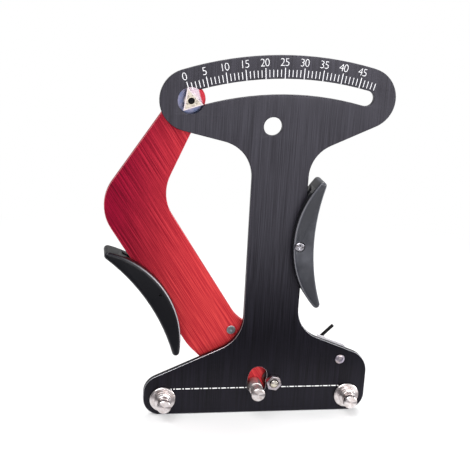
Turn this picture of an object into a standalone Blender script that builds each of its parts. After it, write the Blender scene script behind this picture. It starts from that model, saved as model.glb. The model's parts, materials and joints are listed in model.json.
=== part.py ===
"""Spoke tension meter: a hand gauge that bends a bicycle spoke between three grooved posts.

Squeezing the two crescent grips swings the lever about its pivot, lifts the moving post and carries
the pointer along the scale's slot. The torsion spring pushes the lever back against the spoke.

World axes: X runs to the right across the front, Y from the front to the back and Z up. The plate's
front face lies at Y = 0, its lower edge at Z = 0 and the middle of its base at X = 0. Sizes are in
millimetres and angles in degrees, and MM turns a size into Blender's metres. An angle on the scale
is counted clockwise from straight up, as a reader sees it.
"""

import math

import bmesh
import bpy
from mathutils import Matrix, Vector

MM = 0.001

# Fits and fineness
SEAT_GAP = 0.3
HOLE_CLEARANCE = 0.3
SLIDE_CLEARANCE = 0.35
ARC_TOLERANCE = 0.03
WELD_DISTANCE = 0.001

# Frame plate
PLATE_THICKNESS = 3.0
PLATE_CHAMFER = 0.3
BASE_WIDTH = 123.0
FOOT_RADIUS = 9.5
LEFT_SHOULDER_HEIGHT = 19.4
LEFT_SHOULDER_SLOPE = 24.5
RIGHT_SHOULDER_HEIGHT = 31.7
RIGHT_SHOULDER_SLOPE = 22.0
LEFT_SHOULDER_RADIUS = 10.0
RIGHT_SHOULDER_RADIUS = 13.0
STEM_WIDTH = 29.7
STEM_CENTRE_X = 5.55
LEFT_STEM_FILLET = 19.5
RIGHT_STEM_FILLET = 18.0
HANG_HOLE_DIAMETER = 9.6
HANG_HOLE_DROP = 20.3

# Scale, slot and head
PIVOT_X = 9.1
PIVOT_HEIGHT = 18.4
SCALE_RADIUS = 160.9
SLOT_WIDTH = 8.1
ZERO_ANGLE = -18.6
SWING = 32.4
KEYHOLE_DIAMETER = 13.4
HEAD_MARGIN = 15.6
HEAD_LEFT_SLOPE = 13.2
HEAD_RIGHT_SLOPE = 24.9

# Lever
LEVER_THICKNESS = 3.0
LEVER_CHAMFER = 0.3
LEVER_END_RADIUS = 7.8
LEVER_ARM_WIDTH = 30.3
LEVER_ARM_ANGLE = 57.1
LEVER_ELBOW_X = -88.3
LEVER_ELBOW_HEIGHT = 116.0
LEVER_ELBOW_RADIUS = 22.5
LEVER_INNER_SLOPE = 66.5
LEVER_HEEL_HEIGHT = 38.3
LEVER_HEEL_RADIUS = 30.0
LEVER_CROTCH_HEIGHT = 50.7
LEVER_CROTCH_RADIUS = 20.0
LEVER_FOOT_MARGIN = 11.0
LEVER_FOOT_TOE_RADIUS = 8.8
LEVER_FOOT_TOP_DROP = 4.2
LEVER_FOOT_TOP_RADIUS = 14.0

# Posts
POST_INSET = 10.4
POST_HEIGHT = 9.5
POST_REACH = 10.8
POST_FLANGE_DIAMETER = 14.0
POST_FLANGE_THICKNESS = 1.5
POST_SHOULDER_DIAMETER = 9.2
POST_SHOULDER_LENGTH = 2.0
POST_GROOVE_DIAMETER = 6.4
POST_HEAD_DIAMETER = 7.4
POST_HEAD_LENGTH = 2.4
POST_CHAMFER = 0.5
MOVING_POST_X = -0.7
MOVING_POST_HEIGHT = 15.4
MOVING_POST_SHANK_DIAMETER = 7.2
MOVING_POST_NECK = 3.4
MOVING_POST_OUTER_CLEARANCE = 0.3
MOVING_POST_INNER_CLEARANCE = 2.35
MOVING_POST_OVERRUN = 8.0

# Screws and rivets
SCREW_DIAMETER = 2.8
SCREW_HEAD_DIAMETER = 5.4
SCREW_HEAD_HEIGHT = 1.8
SCREW_SOCKET_WIDTH = 2.0
SCREW_BITE = 5.0
SCREW_EDGE = 0.3
GRIP_SCREW_HEAD_DIAMETER = 5.2
GRIP_SCREW_HEAD_HEIGHT = 1.2
CROSS_RECESS_LENGTH = 3.0
CROSS_RECESS_WIDTH = 0.8
RECESS_SHARE_OF_HEAD = 0.6
RIVET_DIAMETER = 3.0
RIVET_HEAD_DIAMETER = 5.4
RIVET_HEAD_HEIGHT = 0.9

# Pivot stack
PIVOT_BOLT_DIAMETER = 4.0
PIVOT_BOLT_HEAD_DIAMETER = 8.0
PIVOT_BOLT_HEAD_HEIGHT = 2.4
PIVOT_BOLT_PROJECTION = 0.7
PIVOT_SOCKET_WIDTH = 2.9
NUT_WIDTH = 7.5
NUT_THICKNESS = 3.0
NUT_CHAMFER = 0.5
NUT_TURN = 12.0
WASHER_DIAMETER = 11.0
WASHER_THICKNESS = 0.8
BUSH_JOURNAL_DIAMETER = 6.6
SPRING_WASHER_DIAMETER = 16.0
SPRING_WASHER_THICKNESS = 1.0

# Torsion spring, its stud on the lever and its anchor on the plate
WIRE_DIAMETER = 1.9
COIL_RADIUS = 5.8
COIL_PITCH = 2.1
COIL_WHOLE_TURNS = 2
COIL_STEP = 15.0
FIXED_LEG_ANGLE = 45.0
FIXED_LEG_LENGTH = 44.1
LEVER_LEG_OVERHANG = 4.0
STUD_X = -15.1
STUD_HEIGHT = 47.3
STUD_FACE_DIAMETER = 4.8
STUD_FACE_THICKNESS = 0.6
STUD_CAP_DIAMETER = 4.6
STUD_CAP_THICKNESS = 1.0
ANCHOR_SHEET = 1.2
ANCHOR_CHAMFER = 0.15
ANCHOR_LIP = 0.9
ANCHOR_RIVET_ASIDE = 6.3
ANCHOR_RIVET_BELOW = 9.7
ANCHOR_PAD_LEFT = 6.5
ANCHOR_PAD_MARGIN = 3.8
ANCHOR_PAD_RADIUS = 3.0
ANCHOR_LUG_DROP = 1.3
ANCHOR_LUG_LENGTH = 5.0
ANCHOR_LUG_BEYOND = 0.8

# Grips
GRIP_LENGTH = 69.0
GRIP_THICKNESS = 15.0
GRIP_HORN = 9.45
GRIP_LEAN = 1.3
GRIP_WAIST_OUT = 4.5
GRIP_WAIST_IN = 6.6
GRIP_TIP_RADIUS = 2.0
GRIP_EDGE_RADIUS = 1.6
GRIP_EDGE_SEGMENTS = 3
GRIP_SLOT_DEPTH = 2.4
GRIP_SCREW_INSET = 3.3
GRIP_BLIND_WALL = 3.0
GRIP_VENT_DIAMETER = 1.4
GRIP_COUNTERBORE_DEPTH = 1.3
RIGHT_GRIP_HEIGHT = 97.1
LEFT_GRIP_DISTANCE = 57.6

# Pointer
POINTER_TIP = 6.9
POINTER_TAIL = 6.3
POINTER_TAIL_ANGLE = 124.0
POINTER_THICKNESS = 1.0
POINTER_CHAMFER = 0.15
POINTER_SCREW_SINK = 0.6
POINTER_DISC_DIAMETER = 14.0

# Places along Y, from the plate's front face at zero to the back
PLATE_BACK = PLATE_THICKNESS
LEVER_FRONT = PLATE_BACK + SEAT_GAP + WASHER_THICKNESS + SEAT_GAP
LEVER_BACK = LEVER_FRONT + LEVER_THICKNESS
LEVER_LEG_Y = LEVER_BACK + SEAT_GAP + WIRE_DIAMETER / 2
PIVOT = (PIVOT_X, PIVOT_HEIGHT)
MOVING_POST = (MOVING_POST_X, MOVING_POST_HEIGHT)
STUD = (STUD_X, STUD_HEIGHT)
LEVER_ELBOW = (LEVER_ELBOW_X, LEVER_ELBOW_HEIGHT)
RIGHT_SHOULDER = (BASE_WIDTH / 2, RIGHT_SHOULDER_HEIGHT)
POST_X = BASE_WIDTH / 2 - POST_INSET
STEM_LEFT = STEM_CENTRE_X - STEM_WIDTH / 2
STEM_RIGHT = STEM_CENTRE_X + STEM_WIDTH / 2


def arc_step(radius):
    """Return the largest step, in degrees, whose chord stays within the tolerance of the arc."""
    return math.degrees(2 * math.acos(1 - ARC_TOLERANCE / radius))


def polar(centre, radius, angle):
    """Return the point at this radius and anticlockwise angle about a centre."""
    turn = math.radians(angle)
    return (centre[0] + radius * math.cos(turn), centre[1] + radius * math.sin(turn))


def on_scale(radius, angle):
    """Return the point at this radius and clockwise scale angle about the pivot."""
    return polar(PIVOT, radius, 90 - angle)


def arc(centre, radius, start, end):
    """Return points along an arc, both ends included."""
    count = max(2, math.ceil(abs(end - start) / arc_step(radius)))
    return [polar(centre, radius, start + (end - start) * k / count) for k in range(count + 1)]


def circle(centre, diameter):
    """Return the outline of a round hole or disc."""
    return arc(centre, diameter / 2, 0, 360)[:-1]


def screw_hole(centre, diameter=SCREW_DIAMETER):
    """Return the outline of a clearance hole for a shank of this diameter."""
    return circle(centre, diameter + 2 * HOLE_CLEARANCE)


def meet(point, slope, other, other_slope):
    """Return where two lines cross, each given by a point and its anticlockwise angle from X."""
    first = Vector(polar((0, 0), 1, slope))
    second = Vector(polar((0, 0), 1, other_slope))
    along = (Vector(other) - Vector(point)).cross(second) / first.cross(second)
    return tuple(Vector(point) + first * along)


def plain(points):
    """Return outline points as corners without a radius."""
    return [(x, z, 0) for x, z in points]


def rounded(corners):
    """Return a closed outline through (x, z, radius) corners, each radius made as a tangent arc."""
    outline = []
    for k, (x, z, radius) in enumerate(corners):
        if radius == 0:
            outline.append((x, z))
            continue
        corner = Vector((x, z))
        before = (Vector(corners[k - 1][:2]) - corner).normalized()
        after = (Vector(corners[(k + 1) % len(corners)][:2]) - corner).normalized()
        half = before.angle(after) / 2
        centre = corner + (before + after).normalized() * radius / math.sin(half)
        first = corner + before * radius / math.tan(half) - centre
        last = corner + after * radius / math.tan(half) - centre
        start = math.degrees(math.atan2(first.y, first.x))
        outline += arc(centre, radius, start, start - math.degrees(first.angle_signed(last)))
    return outline


def arc_slot(radius, width, start, end):
    """Return the outline of a round-ended slot along an arc about the pivot, between two scale angles."""
    return (
        arc(PIVOT, radius - width / 2, 90 - start, 90 - end)
        + arc(on_scale(radius, end), width / 2, -90 - end, 90 - end)[1:-1]
        + arc(PIVOT, radius + width / 2, 90 - end, 90 - start)
        + arc(on_scale(radius, start), width / 2, 90 - start, 270 - start)[1:-1]
    )


def keyhole_slot():
    """Return the pointer's slot, an arc about the pivot that opens into a round hole at zero."""
    end = ZERO_ANGLE + SWING
    mouth = math.degrees(math.asin(SLOT_WIDTH / KEYHOLE_DIAMETER))
    reach = KEYHOLE_DIAMETER / 2 * math.cos(math.radians(mouth))
    start = ZERO_ANGLE + math.degrees(reach / SCALE_RADIUS)
    zero = on_scale(SCALE_RADIUS, ZERO_ANGLE)
    return (
        arc(PIVOT, SCALE_RADIUS - SLOT_WIDTH / 2, 90 - start, 90 - end)
        + arc(on_scale(SCALE_RADIUS, end), SLOT_WIDTH / 2, -90 - end, 90 - end)[1:-1]
        + arc(PIVOT, SCALE_RADIUS + SLOT_WIDTH / 2, 90 - end, 90 - start)
        + arc(zero, KEYHOLE_DIAMETER / 2, mouth - ZERO_ANGLE, 360 - mouth - ZERO_ANGLE)[1:-1]
    )


def moving_post_slot():
    """Return the curved clearance slot that the moving post swings in, closest along its outer side."""
    arm = Vector(MOVING_POST) - Vector(PIVOT)
    rest = math.degrees(math.atan2(arm.x, arm.y))
    shank = MOVING_POST_SHANK_DIAMETER / 2
    outer = arm.length + shank + MOVING_POST_OUTER_CLEARANCE
    inner = arm.length - shank - MOVING_POST_INNER_CLEARANCE
    return arc_slot((outer + inner) / 2, outer - inner, rest, rest + SWING + MOVING_POST_OVERRUN)


def frame_outline():
    """Return the plate's outline: base, stem and a head that follows the slot at an even margin."""
    end = ZERO_ANGLE + SWING
    right_side = arc(on_scale(SCALE_RADIUS, end), HEAD_MARGIN, HEAD_RIGHT_SLOPE - 90, 90 - end)
    top = arc(PIVOT, SCALE_RADIUS + HEAD_MARGIN, 90 - end, 90 - ZERO_ANGLE)
    zero = on_scale(SCALE_RADIUS, ZERO_ANGLE)
    left_side = arc(zero, HEAD_MARGIN, 90 - ZERO_ANGLE, 270 - HEAD_LEFT_SLOPE)
    left_shoulder = (-BASE_WIDTH / 2, LEFT_SHOULDER_HEIGHT)
    right_foot = meet(RIGHT_SHOULDER, 180 - RIGHT_SHOULDER_SLOPE, (STEM_RIGHT, 0), 90)
    right_neck = meet(right_side[0], HEAD_RIGHT_SLOPE, (STEM_RIGHT, 0), 90)
    left_neck = meet(left_side[-1], -HEAD_LEFT_SLOPE, (STEM_LEFT, 0), 90)
    left_foot = meet(left_shoulder, LEFT_SHOULDER_SLOPE, (STEM_LEFT, 0), 90)
    return rounded([
        (-BASE_WIDTH / 2, 0, FOOT_RADIUS),
        (BASE_WIDTH / 2, 0, FOOT_RADIUS),
        (*RIGHT_SHOULDER, RIGHT_SHOULDER_RADIUS),
        (*right_foot, RIGHT_STEM_FILLET),
        (*right_neck, RIGHT_STEM_FILLET),
        *plain(right_side + top[1:-1] + left_side),
        (*left_neck, LEFT_STEM_FILLET),
        (*left_foot, LEFT_STEM_FILLET),
        (*left_shoulder, LEFT_SHOULDER_RADIUS),
    ])


def lever_edge(along, inward=0.0):
    """Return a point of the lower arm: this far below the elbow and this far inside the outer edge."""
    return polar(polar(LEVER_ELBOW, along, -LEVER_ARM_ANGLE), inward, 90 - LEVER_ARM_ANGLE)


def lever_outline():
    """Return the lever's outline: round pointer end, elbow, wide arm and a foot round the pivot."""
    tip = Vector(on_scale(SCALE_RADIUS, ZERO_ANGLE))
    rise = tip - Vector(LEVER_ELBOW)
    outer_slope = math.degrees(math.atan2(rise.y, rise.x) + math.asin(LEVER_END_RADIUS / rise.length))
    end = arc(tip, LEVER_END_RADIUS, LEVER_INNER_SLOPE - 90, outer_slope + 90)
    inner_elbow = meet(end[0], LEVER_INNER_SLOPE, lever_edge(0, LEVER_ARM_WIDTH), -LEVER_ARM_ANGLE)
    crotch = meet(inner_elbow, -LEVER_ARM_ANGLE, (0, LEVER_CROTCH_HEIGHT), 0)
    heel = meet(LEVER_ELBOW, -LEVER_ARM_ANGLE, (0, LEVER_HEEL_HEIGHT), 0)
    foot_low = PIVOT_HEIGHT - LEVER_FOOT_MARGIN
    foot_left = MOVING_POST_X - LEVER_FOOT_MARGIN / 2
    foot_right = PIVOT_X + LEVER_FOOT_MARGIN
    return rounded([
        *plain(end),
        (*LEVER_ELBOW, LEVER_ELBOW_RADIUS),
        (*heel, LEVER_HEEL_RADIUS),
        (foot_left, foot_low, LEVER_FOOT_TOE_RADIUS),
        (foot_right, foot_low, LEVER_FOOT_MARGIN),
        (foot_right, LEVER_CROTCH_HEIGHT - LEVER_FOOT_TOP_DROP, LEVER_FOOT_TOP_RADIUS),
        (*crotch, LEVER_CROTCH_RADIUS),
        (*inner_elbow, LEVER_ELBOW_RADIUS),
    ])


def grip_outline():
    """Return a crescent, leant a little, about the sheet's edge at x = 0: hollow outside, round tips."""
    tip_x = GRIP_HORN - GRIP_TIP_RADIUS
    tip_z = GRIP_LENGTH / 2 - GRIP_TIP_RADIUS
    across = tip_x - GRIP_WAIST_OUT
    hollow = (across**2 + tip_z**2 - GRIP_TIP_RADIUS**2) / (2 * (GRIP_TIP_RADIUS + across))
    reach = tip_x + GRIP_WAIST_IN
    full = (reach**2 + tip_z**2 - GRIP_TIP_RADIUS**2) / (2 * (reach - GRIP_TIP_RADIUS))
    hollow_centre = (GRIP_WAIST_OUT + hollow, 0)
    full_centre = (full - GRIP_WAIST_IN, 0)
    dip = math.degrees(math.atan2(tip_z, hollow_centre[0] - tip_x))
    sweep = math.degrees(math.atan2(tip_z, tip_x - full_centre[0]))
    upright = (
        arc((tip_x, tip_z), GRIP_TIP_RADIUS, -dip, sweep)
        + arc(full_centre, full, sweep, 360 - sweep)[1:-1]
        + arc((tip_x, -tip_z), GRIP_TIP_RADIUS, 360 - sweep, 360 + dip)
        + arc(hollow_centre, hollow, 180 + dip, 180 - dip)[1:-1]
    )
    lean = Matrix.Rotation(math.radians(GRIP_LEAN), 2)
    return [tuple(lean @ Vector(point)) for point in upright]


def pointer_outline():
    """Return the pointer's triangle, its tip turned outward along the scale's radius."""
    place = on_scale(SCALE_RADIUS, ZERO_ANGLE)
    outward = 90 - ZERO_ANGLE
    return [
        polar(place, POINTER_TIP, outward),
        polar(place, POINTER_TAIL, outward + POINTER_TAIL_ANGLE),
        polar(place, POINTER_TAIL, outward - POINTER_TAIL_ANGLE),
    ]


def spring_legs():
    """Return the coil's start and end angles and the outer ends of its two straight legs."""
    stud = Vector(STUD) - Vector(PIVOT)
    offset = COIL_RADIUS + WIRE_DIAMETER / 2 + SEAT_GAP + RIVET_DIAMETER / 2
    lever_leg_angle = math.degrees(math.atan2(stud.y, stud.x) - math.asin(offset / stud.length))
    start = lever_leg_angle + 90
    end = FIXED_LEG_ANGLE - 90 + 360 * (COIL_WHOLE_TURNS + 1)
    lever_leg_length = math.sqrt(stud.length**2 - offset**2) + LEVER_LEG_OVERHANG
    lever_end = polar(polar(PIVOT, COIL_RADIUS, start), lever_leg_length, lever_leg_angle)
    fixed_end = polar(polar(PIVOT, COIL_RADIUS, end), FIXED_LEG_LENGTH, FIXED_LEG_ANGLE)
    return start, end, lever_end, fixed_end


def fixed_leg_y():
    """Return the depth of the spring's fixed leg, at the far end of the coil."""
    start, end = spring_legs()[:2]
    return LEVER_LEG_Y + COIL_PITCH * (end - start) / 360


def anchor_rivet_place():
    """Return the anchor's rivet, placed from where the fixed leg passes the plate's right shoulder."""
    passing = meet(RIGHT_SHOULDER, -RIGHT_SHOULDER_SLOPE, spring_legs()[3], FIXED_LEG_ANGLE)
    return (passing[0] + ANCHOR_RIVET_ASIDE, passing[1] - ANCHOR_RIVET_BELOW)


def finish(name, colour, roughness, metallic):
    """Make a Principled material."""
    material = bpy.data.materials.new(name)
    material.use_nodes = True
    material.diffuse_color = (*colour, 1.0)
    shader = material.node_tree.nodes["Principled BSDF"]
    shader.inputs["Base Color"].default_value = (*colour, 1.0)
    shader.inputs["Roughness"].default_value = roughness
    shader.inputs["Metallic"].default_value = metallic
    return material


def add_mesh(name, shape, place, material, parent=None):
    """Turn a bmesh, whose own origin is at (x, z) = place, into a shaded object, and free it."""
    bmesh.ops.remove_doubles(shape, verts=shape.verts, dist=WELD_DISTANCE * MM)
    bmesh.ops.recalc_face_normals(shape, faces=shape.faces)
    mesh = bpy.data.meshes.new(name)
    shape.to_mesh(mesh)
    shape.free()
    mesh.shade_smooth()
    mesh.set_sharp_from_angle(angle=math.radians(30))
    if material:
        mesh.materials.append(material)
    piece = bpy.data.objects.new(name, mesh)
    bpy.context.scene.collection.objects.link(piece)
    piece.location = (place[0] * MM, 0, place[1] * MM)
    if parent:
        piece.parent = parent
        piece.location -= parent.location
    return piece


def sheet(name, outline, holes, front, thickness, chamfer, material, place=(0, 0), parent=None):
    """Cut a flat piece from sheet: a 2D curve with holes, extruded and chamfered all round."""
    guide = bpy.data.curves.new(name, "CURVE")
    guide.dimensions = "2D"
    guide.fill_mode = "BOTH"
    guide.extrude = (thickness / 2 - chamfer) * MM
    guide.bevel_depth = chamfer * MM
    guide.bevel_resolution = 0
    guide.offset = -chamfer * MM
    for points in [outline, *holes]:
        spline = guide.splines.new("POLY")
        spline.points.add(len(points) - 1)
        spline.use_cyclic_u = True
        for point, (x, z) in zip(spline.points, points):
            point.co = ((x - place[0]) * MM, (z - place[1]) * MM, 0, 1)
    pattern = bpy.data.objects.new(name, guide)
    shape = bmesh.new()
    shape.from_mesh(pattern.to_mesh())
    bpy.data.objects.remove(pattern)
    bpy.data.curves.remove(guide)
    for vertex in shape.verts:
        x, z, depth = vertex.co
        vertex.co = (x, (front + thickness / 2) * MM - depth, z)
    return add_mesh(name, shape, place, material, parent)


def prism(outline, front, back):
    """Return a bmesh prism over an (x, z) outline between two depths."""
    shape = bmesh.new()
    base = shape.faces.new([shape.verts.new((x * MM, front * MM, z * MM)) for x, z in outline])
    grown = bmesh.ops.extrude_face_region(shape, geom=[base])["geom"]
    moved = [item for item in grown if isinstance(item, bmesh.types.BMVert)]
    bmesh.ops.translate(shape, verts=moved, vec=(0, (back - front) * MM, 0))
    return shape


def turned(name, place, profile, material, parent=None):
    """Revolve a (radius, depth) profile about the Y axis; one that starts off the axis is a ring."""
    shape = bmesh.new()
    points = [shape.verts.new((radius * MM, depth * MM, 0)) for radius, depth in profile]
    edges = [shape.edges.new(pair) for pair in zip(points, points[1:])]
    if profile[0][0] > 0:
        edges.append(shape.edges.new((points[-1], points[0])))
    steps = math.ceil(360 / arc_step(max(radius for radius, depth in profile)))
    bmesh.ops.spin(
        shape, geom=points + edges, cent=(0, 0, 0), axis=(0, 1, 0), angle=math.tau, steps=steps,
        use_merge=True,
    )
    return add_mesh(name, shape, place, material, parent)


def combine(piece, other, operation):
    """Apply another solid to a piece with a Boolean modifier, and hide the helper."""
    modifier = piece.modifiers.new(other.name, "BOOLEAN")
    modifier.operation = operation
    modifier.solver = "EXACT"
    modifier.object = other
    other.hide_render = True
    other.display_type = "WIRE"


def ring(name, place, front, thickness, outer, bore, material, parent=None):
    """Make a washer or spacer, its bore given as a finished diameter."""
    back = front + thickness
    profile = [(bore / 2, front), (outer / 2, front), (outer / 2, back), (bore / 2, back)]
    return turned(name, place, profile, material, parent)


def screw(name, place, seat, tip, diameter, head_diameter, head_height, material, parent=None):
    """Turn a round-headed screw from the depth its head seats at to the depth of its tip."""
    top = seat + math.copysign(head_height, seat - tip)
    edge = math.copysign(SCREW_EDGE, seat - tip)
    profile = [
        (0, top),
        (head_diameter / 2 - 2 * SCREW_EDGE, top),
        (head_diameter / 2, top - 2 * edge),
        (head_diameter / 2, seat),
        (diameter / 2, seat),
        (diameter / 2, tip + edge),
        (diameter / 2 - SCREW_EDGE, tip),
        (0, tip),
    ]
    return turned(name, place, profile, material, parent)


def cut_socket(piece, place, top, depth, width):
    """Sink a hexagonal socket of this width across flats into a head."""
    hexagon = [polar((0, 0), width / math.sqrt(3), 60 * k) for k in range(6)]
    cutter = add_mesh(piece.name + "_socket", prism(hexagon, top - depth, top + depth), place, None)
    combine(piece, cutter, "DIFFERENCE")


def cut_cross(piece, place, top, depth):
    """Sink a cross recess into a head."""
    long, short = CROSS_RECESS_LENGTH / 2, CROSS_RECESS_WIDTH / 2
    quarter = [Vector((short, short)), Vector((short, long)), Vector((-short, long))]
    turns = [Matrix.Rotation(math.tau * k / 4, 2) for k in range(4)]
    cross = [tuple(turn @ corner) for turn in turns for corner in quarter]
    cutter = add_mesh(piece.name + "_cross", prism(cross, top - depth, top + depth), place, None)
    combine(piece, cutter, "DIFFERENCE")


def rear_screw(name, place, seat, tip, material, parent=None):
    """Make a socket screw driven from the back."""
    piece = screw(
        name, place, seat, tip, SCREW_DIAMETER, SCREW_HEAD_DIAMETER, SCREW_HEAD_HEIGHT, material, parent
    )
    depth = SCREW_HEAD_HEIGHT * RECESS_SHARE_OF_HEAD
    cut_socket(piece, place, seat + SCREW_HEAD_HEIGHT, depth, SCREW_SOCKET_WIDTH)
    return piece


def post_end(shank_y, shank_radius):
    """Return the profile of a post from its shank to its nose: shoulder, groove and chamfered head."""
    groove, head = POST_GROOVE_DIAMETER / 2, POST_HEAD_DIAMETER / 2
    head_back = POST_HEAD_LENGTH - POST_REACH
    return [
        (shank_radius, shank_y),
        (groove, shank_y - (shank_radius - groove) / 2),
        (groove, head_back + (head - groove)),
        (head, head_back),
        (head, POST_CHAMFER - POST_REACH),
        (head - POST_CHAMFER, -POST_REACH),
        (0, -POST_REACH),
    ]


def build_plate(black):
    """Make the frame plate with its slot, hang hole, post slot and fastener holes."""
    holes = [
        keyhole_slot(),
        moving_post_slot(),
        circle((0, PIVOT_HEIGHT + SCALE_RADIUS - HANG_HOLE_DROP), HANG_HOLE_DIAMETER),
        screw_hole(PIVOT, PIVOT_BOLT_DIAMETER),
        screw_hole(anchor_rivet_place(), RIVET_DIAMETER),
        screw_hole((STEM_RIGHT - GRIP_SCREW_INSET, RIGHT_GRIP_HEIGHT)),
        screw_hole((-POST_X, POST_HEIGHT)),
        screw_hole((POST_X, POST_HEIGHT)),
    ]
    sheet("front_plate", frame_outline(), holes, 0, PLATE_THICKNESS, PLATE_CHAMFER, black)


def build_lever(red, axis):
    """Make the lever arm with its journal bore and fastener holes."""
    holes = [
        circle(PIVOT, BUSH_JOURNAL_DIAMETER + 2 * SLIDE_CLEARANCE),
        screw_hole(MOVING_POST),
        screw_hole(on_scale(SCALE_RADIUS, ZERO_ANGLE)),
        screw_hole(STUD, RIVET_DIAMETER),
        screw_hole(lever_edge(LEFT_GRIP_DISTANCE, GRIP_SCREW_INSET)),
    ]
    sheet("lever_arm", lever_outline(), holes, LEVER_FRONT, LEVER_THICKNESS, LEVER_CHAMFER, red, PIVOT, axis)


def build_fixed_posts(steel, screw_steel):
    """Make the two fixed posts, each a flange, a shoulder and a groove, and the screws that hold them."""
    flange, shoulder = POST_FLANGE_DIAMETER / 2, POST_SHOULDER_DIAMETER / 2
    bore = SCREW_DIAMETER / 2 + HOLE_CLEARANCE
    flange_front = -SEAT_GAP - POST_FLANGE_THICKNESS
    tip = -SEAT_GAP - SCREW_BITE
    profile = [
        (0, tip - HOLE_CLEARANCE),
        (bore, tip - HOLE_CLEARANCE),
        (bore, -SEAT_GAP),
        (flange, -SEAT_GAP),
        (flange, flange_front + POST_CHAMFER),
        (flange - POST_CHAMFER, flange_front),
        (shoulder, flange_front),
        *post_end(flange_front - POST_SHOULDER_LENGTH, shoulder),
    ]
    for side, x in (("left", -POST_X), ("right", POST_X)):
        turned(side + "_post", (x, POST_HEIGHT), profile, steel)
        rear_screw(side + "_post_screw", (x, POST_HEIGHT), PLATE_BACK + SEAT_GAP, tip, screw_steel)


def build_moving_post(steel, screw_steel, axis):
    """Make the post that the lever carries through the plate, and its screw."""
    shank = MOVING_POST_SHANK_DIAMETER / 2
    bore = SCREW_DIAMETER / 2 + HOLE_CLEARANCE
    rear = LEVER_FRONT - SEAT_GAP
    tip = rear - SCREW_BITE
    profile = [
        (0, tip - HOLE_CLEARANCE),
        (bore, tip - HOLE_CLEARANCE),
        (bore, rear),
        (shank, rear),
        *post_end(-MOVING_POST_NECK, shank),
    ]
    turned("moving_post", MOVING_POST, profile, steel, axis)
    rear_screw("moving_post_screw", MOVING_POST, LEVER_BACK + SEAT_GAP, tip, screw_steel, axis)


def build_pivot(steel, screw_steel, bronze):
    """Make the pivot from front to back: nut, washer, stepped bush, spring washer and bolt."""
    bore = PIVOT_BOLT_DIAMETER + 2 * HOLE_CLEARANCE
    corner = NUT_WIDTH / math.sqrt(3)
    nut_front = -SEAT_GAP - NUT_THICKNESS
    hexagon = [polar((0, 0), corner, 60 * k - NUT_TURN) for k in range(6)]
    nut = add_mesh("pivot_nut", prism(hexagon, nut_front, -SEAT_GAP), PIVOT, steel)
    blank_profile = [
        (bore / 2, nut_front - NUT_CHAMFER),
        (NUT_WIDTH / 2 - NUT_CHAMFER, nut_front - NUT_CHAMFER),
        (corner + NUT_CHAMFER, nut_front + NUT_CHAMFER),
        (corner + NUT_CHAMFER, 0),
        (bore / 2, 0),
    ]
    combine(nut, turned("pivot_nut_blank", PIVOT, blank_profile, None), "INTERSECT")
    journal = BUSH_JOURNAL_DIAMETER
    washer_bore = journal + 2 * HOLE_CLEARANCE
    ring("pivot_washer", PIVOT, PLATE_BACK + SEAT_GAP, WASHER_THICKNESS, WASHER_DIAMETER, washer_bore, bronze)
    barrel = 2 * COIL_RADIUS - WIRE_DIAMETER - 2 * SLIDE_CLEARANCE
    shoulder = LEVER_BACK + SEAT_GAP
    bush_back = fixed_leg_y() + WIRE_DIAMETER / 2
    bush_profile = [
        (bore / 2, PLATE_BACK + SEAT_GAP),
        (journal / 2, PLATE_BACK + SEAT_GAP),
        (journal / 2, shoulder),
        (barrel / 2, shoulder),
        (barrel / 2, bush_back),
        (bore / 2, bush_back),
    ]
    turned("pivot_bush", PIVOT, bush_profile, bronze)
    washer_front = bush_back + SEAT_GAP
    ring(
        "spring_washer", PIVOT, washer_front, SPRING_WASHER_THICKNESS, SPRING_WASHER_DIAMETER, bore,
        screw_steel,
    )
    seat = washer_front + SPRING_WASHER_THICKNESS + SEAT_GAP
    bolt = screw(
        "pivot_bolt", PIVOT, seat, nut_front - PIVOT_BOLT_PROJECTION, PIVOT_BOLT_DIAMETER,
        PIVOT_BOLT_HEAD_DIAMETER, PIVOT_BOLT_HEAD_HEIGHT, screw_steel,
    )
    head_top = seat + PIVOT_BOLT_HEAD_HEIGHT
    cut_socket(bolt, PIVOT, head_top, PIVOT_BOLT_HEAD_HEIGHT * RECESS_SHARE_OF_HEAD, PIVOT_SOCKET_WIDTH)


def build_spring(wire_steel):
    """Wind the torsion spring: lever leg, coil and fixed leg as one bevelled curve."""
    start, end, lever_end, fixed_end = spring_legs()
    count = math.ceil((end - start) / COIL_STEP)
    far_y = fixed_leg_y()
    coil = []
    for k in range(count + 1):
        x, z = polar(PIVOT, COIL_RADIUS, start + (end - start) * k / count)
        coil.append((x, LEVER_LEG_Y + (far_y - LEVER_LEG_Y) * k / count, z))
    route = [(lever_end[0], LEVER_LEG_Y, lever_end[1]), *coil, (fixed_end[0], far_y, fixed_end[1])]
    wire = bpy.data.curves.new("torsion_spring", "CURVE")
    wire.dimensions = "3D"
    wire.bevel_depth = WIRE_DIAMETER / 2 * MM
    wire.bevel_resolution = 2
    wire.use_fill_caps = True
    spline = wire.splines.new("POLY")
    spline.points.add(len(route) - 1)
    for point, place in zip(spline.points, route):
        point.co = (*(Vector(place) * MM), 1)
    wire.materials.append(wire_steel)
    spring = bpy.data.objects.new("torsion_spring", wire)
    bpy.context.scene.collection.objects.link(spring)


def build_spring_stud(steel, axis):
    """Rivet the stud that the spring's free leg pushes on into the lever."""
    pin, face, cap = RIVET_DIAMETER / 2, STUD_FACE_DIAMETER / 2, STUD_CAP_DIAMETER / 2
    face_back = LEVER_FRONT - SEAT_GAP
    cap_front = LEVER_LEG_Y + WIRE_DIAMETER / 2 + SEAT_GAP
    profile = [
        (0, face_back - STUD_FACE_THICKNESS),
        (face, face_back - STUD_FACE_THICKNESS),
        (face, face_back),
        (pin, face_back),
        (pin, cap_front),
        (cap, cap_front),
        (cap, cap_front + STUD_CAP_THICKNESS),
        (0, cap_front + STUD_CAP_THICKNESS),
    ]
    turned("spring_stud", STUD, profile, steel, axis)


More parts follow.
